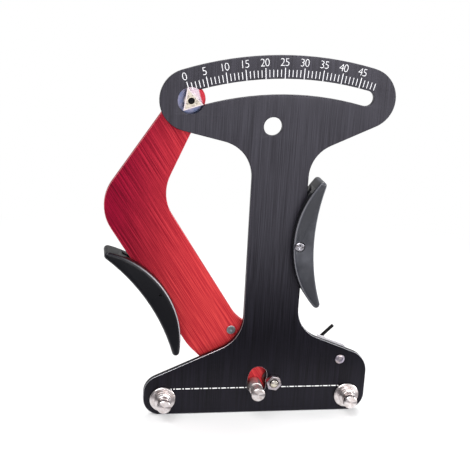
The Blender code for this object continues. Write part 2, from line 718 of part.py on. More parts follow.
def build_anchor(steel, rivet_steel):
    """Bend the anchor that the spring's fixed leg bears on, and rivet it behind the right shoulder."""
    slope = -RIGHT_SHOULDER_SLOPE
    lip = polar(RIGHT_SHOULDER, ANCHOR_LIP, slope + 90)
    rivet = anchor_rivet_place()
    pad_left = rivet[0] - ANCHOR_RIVET_ASIDE - ANCHOR_PAD_LEFT
    pad_right = rivet[0] + ANCHOR_PAD_MARGIN
    pad_low = rivet[1] - ANCHOR_PAD_MARGIN
    pad_outline = rounded([
        (*meet(lip, slope, (pad_left, 0), 90), 0),
        (pad_left, pad_low, ANCHOR_PAD_RADIUS),
        (pad_right, pad_low, ANCHOR_PAD_RADIUS),
        (*meet(lip, slope, (pad_right, 0), 90), ANCHOR_PAD_RADIUS),
    ])
    front = PLATE_BACK + SEAT_GAP
    rivet_hole = screw_hole(rivet, RIVET_DIAMETER)
    anchor = sheet("spring_anchor", pad_outline, [rivet_hole], front, ANCHOR_SHEET, ANCHOR_CHAMFER, steel)
    fixed_end = spring_legs()[3]
    leg_side = polar(fixed_end, WIRE_DIAMETER / 2 + SEAT_GAP, FIXED_LEG_ANGLE - 90)
    sunk = polar(RIGHT_SHOULDER, ANCHOR_LUG_DROP, slope - 90)
    upper = meet(sunk, slope, leg_side, FIXED_LEG_ANGLE)
    lower = polar(upper, -ANCHOR_LUG_LENGTH, FIXED_LEG_ANGLE)
    far_lower, far_upper = (polar(corner, ANCHOR_SHEET, FIXED_LEG_ANGLE - 90) for corner in (lower, upper))
    lug_outline = [upper, lower, far_lower, far_upper]
    lug_back = fixed_leg_y() + WIRE_DIAMETER / 2 + ANCHOR_LUG_BEYOND
    lug = add_mesh("spring_anchor_lug", prism(lug_outline, front + ANCHOR_SHEET / 2, lug_back), (0, 0), None)
    combine(anchor, lug, "UNION")
    pin, head = RIVET_DIAMETER / 2, RIVET_HEAD_DIAMETER / 2
    tail = front + ANCHOR_SHEET + SEAT_GAP
    profile = [
        (0, -SEAT_GAP - RIVET_HEAD_HEIGHT),
        (head - RIVET_HEAD_HEIGHT, -SEAT_GAP - RIVET_HEAD_HEIGHT),
        (head - RIVET_HEAD_HEIGHT / 3, -SEAT_GAP - RIVET_HEAD_HEIGHT * 2 / 3),
        (head, -SEAT_GAP),
        (pin, -SEAT_GAP),
        (pin, tail),
        (head, tail),
        (head, tail + RIVET_HEAD_HEIGHT),
        (0, tail + RIVET_HEAD_HEIGHT),
    ]
    turned("anchor_rivet", rivet, profile, rivet_steel)


def build_grip(name, place, outward, sheet_front, sheet_thickness, from_back, black, steel, parent=None):
    """Make one crescent grip that straddles a sheet's edge at place, with the screw that holds it."""
    front = sheet_front + sheet_thickness / 2 - GRIP_THICKNESS / 2
    back = front + GRIP_THICKNESS
    grip = add_mesh(name, prism(grip_outline(), front, back), place, black, parent)
    edge = grip.modifiers.new("edge", "BEVEL")
    edge.width = GRIP_EDGE_RADIUS * MM
    edge.segments = GRIP_EDGE_SEGMENTS
    edge.limit_method = "ANGLE"
    edge.angle_limit = math.radians(60)
    length = GRIP_LENGTH
    depth = GRIP_SLOT_DEPTH
    slot_outline = [(-length, -length), (depth, -length), (depth, length), (-length, length)]
    slot_front = sheet_front - SEAT_GAP
    slot_back = sheet_front + sheet_thickness + SEAT_GAP
    slot = add_mesh(name + "_slot", prism(slot_outline, slot_front, slot_back), place, None, parent)
    combine(grip, slot, "DIFFERENCE")
    mouth, tip_end = (back, front) if from_back else (front, back)
    inward = math.copysign(1, tip_end - mouth)
    floor = mouth + inward * GRIP_COUNTERBORE_DEPTH
    blind_end = tip_end - inward * GRIP_BLIND_WALL
    hole, sink = SCREW_DIAMETER / 2 + HOLE_CLEARANCE, GRIP_SCREW_HEAD_DIAMETER / 2 + HOLE_CLEARANCE
    vent = GRIP_VENT_DIAMETER / 2
    bore_profile = [
        (0, mouth - inward),
        (sink, mouth - inward),
        (sink, floor),
        (hole, floor),
        (hole, blind_end),
        (vent, blind_end),
        (vent, tip_end + inward),
        (0, tip_end + inward),
    ]
    screw_place = polar(place, -GRIP_SCREW_INSET, outward)
    combine(grip, turned(name + "_bore", screw_place, bore_profile, None, parent), "DIFFERENCE")
    for piece in (grip, slot):
        piece.rotation_euler.y = -math.radians(outward)
    seat = floor - inward * SEAT_GAP
    bolt = screw(
        name + "_screw", screw_place, seat, blind_end - inward * HOLE_CLEARANCE, SCREW_DIAMETER,
        GRIP_SCREW_HEAD_DIAMETER, GRIP_SCREW_HEAD_HEIGHT, steel, parent,
    )
    recess = GRIP_SCREW_HEAD_HEIGHT * RECESS_SHARE_OF_HEAD
    cut_cross(bolt, screw_place, seat - inward * GRIP_SCREW_HEAD_HEIGHT, recess)
    return grip


def build_pointer(cream, blue_steel, steel, black_steel, axis):
    """Make the pointer in front of the slot, the spacer in it, the disc behind it and their screw."""
    place = on_scale(SCALE_RADIUS, ZERO_ANGLE)
    bore = SCREW_DIAMETER + 2 * HOLE_CLEARANCE
    holes = [circle(place, bore)]
    front = -SEAT_GAP - POINTER_THICKNESS
    sheet(
        "pointer", pointer_outline(), holes, front, POINTER_THICKNESS, POINTER_CHAMFER, cream, PIVOT, axis
    )
    spacer = SLOT_WIDTH - 2 * SLIDE_CLEARANCE
    ring("pointer_spacer", place, 0, PLATE_THICKNESS, spacer, bore, steel, axis)
    disc_front = PLATE_BACK + SEAT_GAP
    ring("pointer_disc", place, disc_front, WASHER_THICKNESS, POINTER_DISC_DIAMETER, bore, blue_steel, axis)
    rear_screw("pointer_screw", place, LEVER_BACK + SEAT_GAP, front + POINTER_SCREW_SINK, black_steel, axis)


def main():
    """Clear the scene and build the meter with its lever at rest."""
    for item in list(bpy.data.objects):
        bpy.data.objects.remove(item)
    black = finish("black_anodised", (0.028, 0.026, 0.032), 0.42, 0.6)
    red = finish("red_anodised", (0.55, 0.012, 0.035), 0.34, 0.85)
    satin_black = finish("satin_black", (0.035, 0.035, 0.038), 0.5, 0.0)
    cream = finish("cream_paint", (0.85, 0.78, 0.68), 0.4, 0.1)
    blue_steel = finish("blued_steel", (0.16, 0.18, 0.34), 0.3, 0.9)
    polished = finish("polished_steel", (0.72, 0.70, 0.68), 0.18, 1.0)
    bright_zinc = finish("bright_zinc", (0.62, 0.62, 0.63), 0.3, 1.0)
    bronze = finish("bearing_bronze", (0.55, 0.36, 0.16), 0.4, 1.0)
    black_steel = finish("black_oxide_steel", (0.02, 0.02, 0.022), 0.35, 0.7)
    axis = bpy.data.objects.new("lever_axis", None)
    axis.location = (PIVOT_X * MM, 0, PIVOT_HEIGHT * MM)
    bpy.context.scene.collection.objects.link(axis)
    build_plate(black)
    build_lever(red, axis)
    build_fixed_posts(polished, bright_zinc)
    build_moving_post(polished, bright_zinc, axis)
    build_pivot(polished, bright_zinc, bronze)
    build_spring(black_steel)
    build_spring_stud(bright_zinc, axis)
    build_anchor(bright_zinc, polished)
    build_pointer(cream, blue_steel, polished, black_steel, axis)
    stem_edge = (STEM_RIGHT, RIGHT_GRIP_HEIGHT)
    build_grip("right_grip", stem_edge, 0, 0, PLATE_THICKNESS, False, satin_black, bright_zinc)
    build_grip(
        "left_grip", lever_edge(LEFT_GRIP_DISTANCE), 270 - LEVER_ARM_ANGLE, LEVER_FRONT, LEVER_THICKNESS,
        True, satin_black, bright_zinc, axis,
    )


main()
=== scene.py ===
"""Looks of the spoke tension meter: finishes, fine surfaces, scale markings, camera and studio.

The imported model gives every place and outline. Plates, grips and the pointer keep its shape and get
smooth normals. The scale's marks and everything that is turned or coiled are surfaces worked out
here. Sizes are in millimetres, MM turns them into metres, and a depth runs along Y from the front to
the back.
"""

from __future__ import annotations

import json
import logging
import math
from dataclasses import dataclass
from enum import Enum

import bmesh
import bpy
import numpy as np
from mathutils import Matrix, Vector


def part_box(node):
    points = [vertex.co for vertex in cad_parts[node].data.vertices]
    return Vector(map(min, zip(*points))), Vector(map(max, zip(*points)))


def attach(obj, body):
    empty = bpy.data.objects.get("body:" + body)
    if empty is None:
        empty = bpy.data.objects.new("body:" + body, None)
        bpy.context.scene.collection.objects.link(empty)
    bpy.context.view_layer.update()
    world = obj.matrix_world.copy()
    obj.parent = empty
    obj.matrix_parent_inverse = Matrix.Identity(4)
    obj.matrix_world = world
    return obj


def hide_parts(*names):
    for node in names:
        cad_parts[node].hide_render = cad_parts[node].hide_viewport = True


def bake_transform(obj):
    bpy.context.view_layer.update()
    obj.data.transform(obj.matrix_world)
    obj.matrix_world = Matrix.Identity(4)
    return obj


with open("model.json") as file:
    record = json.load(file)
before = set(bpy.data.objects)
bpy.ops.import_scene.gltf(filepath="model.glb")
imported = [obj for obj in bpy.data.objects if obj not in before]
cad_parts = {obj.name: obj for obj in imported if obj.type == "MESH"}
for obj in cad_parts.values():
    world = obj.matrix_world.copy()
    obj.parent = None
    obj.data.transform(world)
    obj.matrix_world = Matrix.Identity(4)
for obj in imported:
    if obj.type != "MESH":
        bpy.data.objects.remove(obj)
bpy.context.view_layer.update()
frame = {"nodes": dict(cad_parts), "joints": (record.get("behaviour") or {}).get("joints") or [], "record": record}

# A corner is (radius, depth, fillet), a span (start, end, period) and a row (radii, depth).
Array = np.ndarray
Colour = tuple[float, float, float]
Point = tuple[float, float, float]
Corner = tuple[float, float, float]
Span = tuple[float, float, float]
Pair = tuple[float, float]
Row = tuple[Array, float]

MM = 0.001
ALONG_X: Point = (1.0, 0.0, 0.0)
ALONG_Y: Point = (0.0, 1.0, 0.0)
ALONG_Z: Point = (0.0, 0.0, 1.0)
COLUMNS = 96
ANGLES = np.linspace(0, math.tau, COLUMNS, endpoint=False)
SHARP_ANGLE = 30.0
TURNED_SHARP_ANGLE = 35.0
FILLET_STEPS = 5
LARGEST_FILLET = 0.42
SUPPORT = 0.04
BORE_FILLET = 0.1
EDGE_FILLET = 0.15
WELD_DISTANCE = 0.002
SEAT_GAP = 0.3
MARK_RISE = 0.03
# The numbers of a Mix node's sockets for two colours and for their result.
MIX_COLOURS = (6, 7)
MIX_RESULT = 2

log = logging.getLogger("spoke_tension_meter")


class Body(Enum):
    """The two bodies that the pivot joins."""

    FRAME = "frame"
    LEVER = "lever"


class Slot(Enum):
    """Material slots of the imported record."""

    BLACK_ANODISED = "black_anodised"
    RED_ANODISED = "red_anodised"
    SATIN_BLACK = "satin_black"
    CREAM_PAINT = "cream_paint"
    BLUED_STEEL = "blued_steel"
    POLISHED_STEEL = "polished_steel"
    BRIGHT_ZINC = "bright_zinc"
    BEARING_BRONZE = "bearing_bronze"
    BLACK_OXIDE = "black_oxide_steel"


class Signal:
    """A number that varies over a surface: one shader socket that takes arithmetic."""

    def __init__(self, tree: NodeTree, socket: bpy.types.NodeSocket) -> None:
        """Wrap a socket.

        Args:
            tree: The tree that the socket belongs to.
            socket: An output socket with one number.
        """
        self.tree = tree
        self.socket = socket

    def _math(self, operation: str, first: Operand, second: Operand = 0.0) -> Signal:
        """Return a Math node's result.

        Args:
            operation: The Math node's operation.
            first: Its first number.
            second: Its second number, where it takes one.

        Returns:
            The result as a signal.
        """
        node = self.tree.node("ShaderNodeMath", {"operation": operation}, {0: first, 1: second})
        return Signal(self.tree, node.outputs[0])

    def __add__(self, other: Operand) -> Signal:
        """Return the sum."""
        return self._math("ADD", self, other)

    def __radd__(self, other: float) -> Signal:
        """Return the sum with a number in front."""
        return self._math("ADD", other, self)

    def __sub__(self, other: Operand) -> Signal:
        """Return the difference."""
        return self._math("SUBTRACT", self, other)

    def __rsub__(self, other: float) -> Signal:
        """Return a number less this signal."""
        return self._math("SUBTRACT", other, self)

    def __mul__(self, other: Operand) -> Signal:
        """Return the product."""
        return self._math("MULTIPLY", self, other)

    def __rmul__(self, other: float) -> Signal:
        """Return the product with a number in front."""
        return self._math("MULTIPLY", other, self)

    def __abs__(self) -> Signal:
        """Return the size without its sign."""
        return self._math("ABSOLUTE", self)

    def sine(self) -> Signal:
        """Return the sine."""
        return self._math("SINE", self)

    def bearing(self, across: Operand) -> Signal:
        """Return the angle of the point (across, self), in radians."""
        return self._math("ARCTAN2", self, across)

    def or_more(self, other: Operand) -> Signal:
        """Return the larger of the two."""
        return self._math("MAXIMUM", self, other)

    def between(self, low: float, high: float) -> Signal:
        """Return 0 below low, 1 above high and a smooth rise between them.

        Args:
            low: The value that gives 0.
            high: The value that gives 1.

        Returns:
            The smoothed share, and its inverse where low is above high.
        """
        if low > high:
            return 1.0 - self.between(high, low)
        inputs = {"Value": self, "From Min": low, "From Max": high}
        node = self.tree.node("ShaderNodeMapRange", {"interpolation_type": "SMOOTHSTEP"}, inputs)
        return Signal(self.tree, node.outputs["Result"])


Operand = Signal | float


class NodeTree:
    """The nodes of a material or of the world, made by a few calls."""

    def __init__(self, tree: bpy.types.NodeTree) -> None:
        """Take the tree that the nodes go into."""
        self.nodes, self.links = tree.nodes, tree.links

    def node(self, kind: str, settings: dict, inputs: dict) -> bpy.types.Node:
        """Add one node.

        Args:
            kind: The node's type.
            settings: Its settings, set before its sockets.
            inputs: A value, signal or socket for each input, by name or number.

        Returns:
            The new node.
        """
        node = self.nodes.new(kind)
        for key, value in settings.items():
            setattr(node, key, value)
        for key, value in inputs.items():
            self.feed(node.inputs[key], value)
        return node

    def feed(self, target: bpy.types.NodeSocket, value: object) -> None:
        """Link or set an input.

        Args:
            target: The input socket.
            value: A signal, a socket, or a constant of the socket's type.
        """
        if isinstance(value, (Signal, bpy.types.NodeSocket)):
            self.links.new(value.socket if isinstance(value, Signal) else value, target)
        else:
            target.default_value = value

    def surface(self, mixer: bpy.types.Node, output: str) -> None:
        """Let a mixed shader be what the named output node shows."""
        self.feed(self.nodes[output].inputs["Surface"], mixer.outputs[0])


class ShaderTree(NodeTree):
    """A Principled material's nodes, with the place and the normal that its patterns read."""

    def __init__(self, name: str) -> None:
        """Make an empty Principled material.

        Args:
            name: The material's name.
        """
        self.material = bpy.data.materials.new(name)
        self.material.use_nodes = True
        super().__init__(self.material.node_tree)
        self.shader = self.nodes["Principled BSDF"]
        coordinates = self.nodes.new("ShaderNodeTexCoord")
        self.place = coordinates.outputs["Object"]
        self.normal = coordinates.outputs["Normal"]

    def along(self, vector: bpy.types.NodeSocket, direction: Point) -> Signal:
        """Return how far a vector reaches along a direction: their dot product."""
        node = self.node("ShaderNodeVectorMath", {"operation": "DOT_PRODUCT"}, {0: vector, 1: direction})
        return Signal(self, node.outputs["Value"])

    def facing(self) -> Signal:
        """Return how squarely the surface faces the front or the back: 1 there and 0 on its sides."""
        return abs(self.along(self.normal, ALONG_Y))

    def about(self, centre: Point) -> tuple[Signal, Signal]:
        """Return the distance from a line through a centre that runs along Y, and the bearing round it.

        Args:
            centre: A point on the line, in metres.

        Returns:
            The distance in metres and the bearing in radians.
        """
        kind = "ShaderNodeVectorMath"
        shifted = self.node(kind, {"operation": "SUBTRACT"}, {0: self.place, 1: centre})
        flat = self.node(kind, {"operation": "MULTIPLY"}, {0: shifted.outputs[0], 1: (1, 0, 1)}).outputs[0]
        length = self.node(kind, {"operation": "LENGTH"}, {0: flat})
        bearing = self.along(flat, ALONG_Z).bearing(self.along(flat, ALONG_X))
        return Signal(self, length.outputs["Value"]), bearing

    def vector(self, x: Operand, y: Operand, z: Operand) -> bpy.types.NodeSocket:
        """Return a vector made of three numbers."""
        return self.node("ShaderNodeCombineXYZ", {}, {0: x, 1: y, 2: z}).outputs[0]

    def noise(self, vector: bpy.types.NodeSocket, scale: float, detail: float = 3.0) -> Signal:
        """Return smooth noise from 0 to 1.

        Args:
            vector: Where it is read.
            scale: Its features per unit of the vector.
            detail: How many finer octaves it holds.

        Returns:
            The noise.
        """
        inputs = {"Vector": vector, "Scale": scale, "Detail": detail, "Roughness": 0.6}
        return Signal(self, self.node("ShaderNodeTexNoise", {}, inputs).outputs["Fac"])

    def mix(self, share: Operand, first: object, second: object) -> bpy.types.NodeSocket:
        """Return a colour between two others.

        Args:
            share: How much of the second colour there is.
            first: The colour at 0, as three numbers or a socket.
            second: The colour at 1.

        Returns:
            The mixed colour's socket.
        """
        node = self.node("ShaderNodeMix", {"data_type": "RGBA"}, {0: share})
        for number, colour in zip(MIX_COLOURS, (first, second)):
            self.feed(node.inputs[number], (*colour, 1.0) if isinstance(colour, tuple) else colour)
        return node.outputs[MIX_RESULT]

    def bump(self, height: Signal, depth: float, strength: float) -> None:
        """Raise the surface by a height signal.

        Args:
            height: The signal, 0 to 1.
            depth: What a height of 1 stands for, in millimetres.
            strength: How strongly the relief shows.
        """
        inputs = {"Height": height, "Distance": depth * MM, "Strength": strength}
        node = self.node("ShaderNodeBump", {}, inputs)
        self.links.new(node.outputs["Normal"], self.shader.inputs["Normal"])

    def principled(self, **values: object) -> bpy.types.Material:
        """Set the Principled shader's inputs by name, with spaces as underscores.

        Args:
            values: Constants, colours, signals or sockets.

        Returns:
            The finished material.
        """
        for key, value in values.items():
            target = self.shader.inputs[key.replace("_", " ").title().replace("Ior", "IOR")]
            self.feed(target, (*value, 1.0) if isinstance(value, tuple) else value)
        return self.material


def heading(lean: float) -> Point:
    """Return the unit direction in the plate's plane that leans up by some degrees from X."""
    turn = math.radians(lean)
    return (math.cos(turn), 0.0, math.sin(turn))


@dataclass(frozen=True)
class BrushedAnodising:
    """Brushed and dyed aluminium: straight grain, tonal bands, painted shade towards one side, and a brighter
    machined edge that is partly a painted highlight.
    """

    name: str
    dark: Colour
    light: Colour
    # Edge colour: partly bare machined metal on the chamfers, partly a painted highlight.
    edge: Colour
    lean: float
    metallic: float
    roughness: float
    band_depth: float
    grain_depth: float
    # Painted shade: this colour and the next fields darken one side of the surface, standing in for light falling
    # off there.
    shade: Colour
    shade_from: float
    shade_to: float
    shade_lean: float
    shade_metal: float = 0.0
    edge_metal: float = 0.0
    # How much the bright edge, in part a painted highlight, keeps to the painted-shade side.
    edge_gather: float = 0.0
    wall_metal: float = 0.0
    gloss_tint: Colour = (1.0, 1.0, 1.0)
    grain_width: float = 0.5
    grain_length: float = 34.0
    band_width: float = 2.6
    grain_contrast: float = 2.4
    band_contrast: float = 2.6
    shade_fraying: float = 18.0
    shade_spread: Pair = (0.3, 1.7)
    cloud_scale: float = 14.0
    grain_relief: float = 0.012
    wall_facing: Pair = (0.97, 0.85)
    edge_facing: Pair = (0.25, 0.45)

    def material(self) -> bpy.types.Material:
        """Build the material.

        Grain is noise read in a frame turned to the brushing, squeezed across it and drawn out along
        it. Bands are the same noise, wider. A painted shade darkens the colour towards one side, where
        the grain goes on in a darker tone, and raises the metallic there so that the gloss darkens too.
        The walls are where the surface doesn't face along Y, and the edge is the part of them that
        leans, such as a chamfer. The edge is painted brighter, partly as bare machined metal and partly
        as a painted highlight, and can be kept to the painted-shade side.

        Returns:
            The material.
        """
        tree = ShaderTree(self.name)
        along = tree.along(tree.place, heading(self.lean))
        across = tree.along(tree.place, heading(self.lean + 90))
        stretch = 1 / (self.grain_length * MM)
        grain_place = tree.vector(across * (1 / (self.grain_width * MM)), along * stretch, 0.0)
        band_place = tree.vector(across * (1 / (self.band_width * MM)), along * (stretch / 2), 3.7)
        fine = tree.noise(grain_place, 1.0, 4.0)
        wide = tree.noise(band_place, 1.0, 2.0)
        cloud = tree.noise(tree.place, self.cloud_scale, 2.0)
        tone = 0.5 + (fine - 0.5) * (self.grain_contrast * self.grain_depth)
        tone = tone + (wide - 0.5) * (self.band_contrast * self.band_depth) + (cloud - 0.5) * self.band_depth
        tone = tone.between(0.0, 1.0)
        # Painted shade: 1 on the side taken to be out of the light, 0 on the other, frayed along the grain.
        reach = tree.along(tree.place, heading(self.shade_lean)) + (fine - 0.5) * (self.shade_fraying * MM)
        painted_shade = reach.between(self.shade_to * MM, self.shade_from * MM)
        facing = tree.facing()
        wall = facing.between(*self.wall_facing)
        # Bright edge on leaning walls: partly machined metal, partly a painted highlight.
        edge = wall * facing.between(*self.edge_facing) * (1.0 - (1.0 - painted_shade) * self.edge_gather)
        metallic = self.metallic + painted_shade * self.shade_metal
        thin, full = (tuple(part * share for part in self.shade) for share in self.shade_spread)
        colour = tree.mix(painted_shade * 0.95, tree.mix(tone, self.dark, self.light), tree.mix(tone, thin, full))
        tree.bump(fine, self.grain_relief, 0.5)
        return tree.principled(
            base_color=tree.mix(edge * 0.85, colour, self.edge),
            roughness=self.roughness + (fine - 0.5) * 0.3 - edge * 0.08,
            metallic=metallic.or_more(edge * self.edge_metal).or_more(wall * self.wall_metal),
            specular_tint=self.gloss_tint,
        )


@dataclass(frozen=True)
class TurnedMetal:
    """Metal off a lathe: fine rings about its axis, a slight tint, handling marks and painted sheen on faced ends.
    """

    colour: Colour
    tint: Colour
    roughness: float
    side_matte: float = 0.0
    # Painted sheen: how much, at what turn and in what tone faced ends are darkened in wedges.
    sector_depth: float = 0.75
    sector_turn: float = 2.1
    sector_tone: Colour = (0.16, 0.14, 0.15)
    ring_pitch: float = 0.16
    ring_relief: float = 0.004
    fade_scale: float = 900.0
    stain_scale: float = 380.0
    smear_scale: float = 90.0

    def material(self, node: str) -> bpy.types.Material:
        """Build the material about a node's own axis.

        Rings are a sine of the distance from the axis, faded by noise so that they come and go. On a
        faced end a painted sheen darkens wedges round the axis, which are sines of the bearing; they
        stand in for the light that a turned face catches.

        Args:
            node: The node whose axis it is.

        Returns:
            The material.
        """
        tree = ShaderTree(node + "_turned")
        distance, bearing = tree.about(metres(Stand.of(node).middle))
        facing = tree.facing().between(0.4, 0.7)
        path = distance * facing + tree.along(tree.place, ALONG_Y) * (1.0 - facing)
        rings = (path * (math.tau / (self.ring_pitch * MM))).sine() * 0.5 + 0.5
        fade = tree.noise(tree.vector(path * self.fade_scale, 0.0, 0.0), 1.0)
        stain = tree.noise(tree.place, self.stain_scale, 4.0)
        smear = tree.noise(tree.place, self.smear_scale, 2.0)
        # Painted sheen: wedges round the axis that stand in for a turned face's reflection.
        painted_sheen_wedges = (bearing * 2.0 + self.sector_turn).sine() * 0.65 + (bearing * 5.0 + 1.1).sine() * 0.35
        metal = tree.mix(stain.between(0.35, 0.75), self.colour, self.tint)
        rough = self.roughness + (fade - 0.5) * 0.16 + (smear - 0.5) * 0.12
        tree.bump(rings * fade, self.ring_relief, 0.5)
        return tree.principled(
            base_color=tree.mix(
                painted_sheen_wedges.between(0.1, 0.95) * facing * self.sector_depth, metal, self.sector_tone
            ),
            roughness=rough + (1.0 - facing) * self.side_matte,
            metallic=1.0,
        )


@dataclass(frozen=True)
class PlatedMetal:
    """Zinc plate or blackened steel: a cloudy tint over a satin metal."""

    name: str
    colour: Colour
    tint: Colour
    roughness: float
    cloud_scale: float = 220.0
    pit_scale: float = 4200.0
    pit_relief: float = 0.006

    def material(self) -> bpy.types.Material:
        """Build the material: two noises, a slow one for the tint and a fine one for the pits.

        Returns:
            The material.
        """
        tree = ShaderTree(self.name)
        cloud = tree.noise(tree.place, self.cloud_scale)
        pits = tree.noise(tree.place, self.pit_scale)
        tree.bump(pits, self.pit_relief, 0.3)
        return tree.principled(
            base_color=tree.mix(cloud.between(0.3, 0.7), self.colour, self.tint),
            roughness=self.roughness + (pits - 0.5) * 0.2 + (cloud - 0.5) * 0.1,
            metallic=1.0,
        )


@dataclass(frozen=True)
class MouldedGrip:
    """Satin black grip: fine moulded grain, paler where hands and edges rub, with painted shade on its inner side
    and a painted highlight line along its inner rim.
    """

    name: str
    colour: Colour
    rubbed: Colour
    # Painted highlight: the colour of the bright line along the inner rim.
    edge: Colour
    inward: Point
    # How much of the pale patches and extra gloss a grip has.
    wear: float
    # Painted shade: the near-black colour of the side that faces inward.
    hollow: Colour = (0.003, 0.003, 0.004)
    rim_depth: float = 1.7
    rim_blur: float = 0.5
    line_fade: float = 16.0
    cell_scale: float = 2600.0
    patch_scale: float = 60.0
    speck_scale: float = 1900.0
    skin_relief: float = 0.02

    def material(self, low: Vector, high: Vector) -> bpy.types.Material:
        """Build the material: cell grain for the skin, noise for the rubbed patches.

        The rims are paler. The inner side is painted darker as shade, and a painted highlight line runs
        along the rim between them and fades towards both ends.

        Args:
            low: The grip's lowest corner in millimetres.
            high: Its highest corner.

        Returns:
            The material.
        """
        tree = ShaderTree(self.name)
        cells = tree.node("ShaderNodeTexVoronoi", {}, {"Vector": tree.place, "Scale": self.cell_scale})
        grain = Signal(tree, cells.outputs["Distance"])
        patch = tree.noise(tree.place, self.patch_scale, 4.0)
        speck = tree.noise(tree.place, self.speck_scale, 2.0)
        facing = tree.facing()
        middle, half = (low.y + high.y) / 2 * MM, (high.y - low.y) / 2
        aside = abs(tree.along(tree.place, ALONG_Y) - middle)
        outer = aside.between((half - self.rim_depth - self.rim_blur) * MM, (half - self.rim_depth) * MM)
        rim = facing.between(0.99, 0.75) * facing.between(0.05, 0.4) * outer
        height = tree.along(tree.place, ALONG_Z)
        towards = tree.along(tree.normal, self.inward)
        # Painted highlight: a bright line along the inner rim, fading towards both ends.
        line = facing.between(0.88, 0.72) * facing.between(0.3, 0.5) * towards.between(0.1, 0.5) * outer
        line = line * height.between(high.z * MM, (high.z - self.line_fade) * MM)
        line = line * height.between(low.z * MM, (low.z + self.line_fade) * MM)
        wear_and_painted_shade = tree.mix((patch.between(0.4, 0.8) * self.wear).or_more(rim * 0.9), self.colour, self.rubbed)
        # Painted shade: the side that faces inward goes near black.
        wear_and_painted_shade = tree.mix(towards.between(0.6, 0.85) * 0.9, wear_and_painted_shade, self.hollow)
        tree.bump(grain * 0.6 + speck * 0.4, self.skin_relief, 0.35)
        return tree.principled(
            base_color=tree.mix(line * 0.9, wear_and_painted_shade, self.edge),
            roughness=0.4 + (speck - 0.5) * 0.2 - rim * 0.2,
            metallic=0.0,
            specular_ior_level=0.2 + 0.35 * self.wear,
        )


@dataclass(frozen=True)
class Enamel:
    """White ink in an engraving: a base tone, a second tone and fine specks."""

    name: str
    colour: Colour
    tint: Colour
    dirt: Colour = (0.32, 0.27, 0.22)
    cloud_scale: float = 260.0
    speck_scale: float = 2600.0
    speck_relief: float = 0.01

    def material(self) -> bpy.types.Material:
        """Build the material: the tint gathers in slow noise, and specks darken single grains.

        Returns:
            The material.
        """
        tree = ShaderTree(self.name)
        cloud = tree.noise(tree.place, self.cloud_scale)
        speck = tree.noise(tree.place, self.speck_scale, 4.0)
        ink = tree.mix(cloud.between(0.35, 0.7), self.colour, self.tint)
        tree.bump(speck, self.speck_relief, 0.3)
        return tree.principled(
            base_color=tree.mix(speck.between(0.62, 0.78) * 0.35, ink, self.dirt),
            roughness=0.5 + (speck - 0.5) * 0.15,
            metallic=0.0,
        )


@dataclass(frozen=True)
class PointerPaint:
    """Worn paint on the pointer: a speckled beige middle inside a pinkish white border."""

    border: Colour = (0.66, 0.58, 0.60)
    middle: Colour = (0.54, 0.48, 0.40)
    stain: Colour = (0.18, 0.15, 0.14)
    border_width: float = 0.5
    border_blur: float = 0.35
    border_waver: float = 0.5
    blotch_scale: float = 900.0
    speck_scale: float = 2600.0
    paint_relief: float = 0.02

    def material(self, corners: Array) -> bpy.types.Material:
        """Build the material.

        How far a point lies outside a side is its reach along that side's outward direction, less the
        side's own. The border is where the largest of the three is near 0, and blotches are noise.

        Args:
            corners: The pointer's (x, z) corners in millimetres.

        Returns:
            The material.
        """
        tree = ShaderTree("worn_cream_paint")
        blotch = tree.noise(tree.place, self.blotch_scale, 4.0)
        speck = tree.noise(tree.place, self.speck_scale)
        outside = None
        for start, end in zip(corners, np.roll(corners, -1, axis=0)):
            out = np.array([end[1] - start[1], start[0] - end[0]]) / np.linalg.norm(end - start)
            out *= np.sign(out @ (start - corners.mean(axis=0)))
            past = tree.along(tree.place, (float(out[0]), 0.0, float(out[1]))) - float(out @ start) * MM
            outside = past if outside is None else outside.or_more(past)
        wavy = outside + (blotch - 0.5) * (self.border_waver * MM)
        width, blur = self.border_width * MM, self.border_blur * MM
        inner = tree.mix(blotch.between(0.48, 0.64) * 0.9, self.middle, self.stain)
        colour = tree.mix(wavy.between(-width - blur, -width + blur), inner, self.border)
        tree.bump(blotch * 0.6 + speck * 0.4, self.paint_relief, 0.4)
        return tree.principled(
            base_color=tree.mix(speck.between(0.6, 0.8) * 0.3, colour, self.stain),
            roughness=0.4 + (speck - 0.5) * 0.2,
            metallic=0.0,
        )


@dataclass(frozen=True)
class Tint:
    """A painted reflection: its colour, the way it spreads, and the reach along that way where it starts and ends.
    """

    colour: Colour
    lean: float
    start: float
    end: float


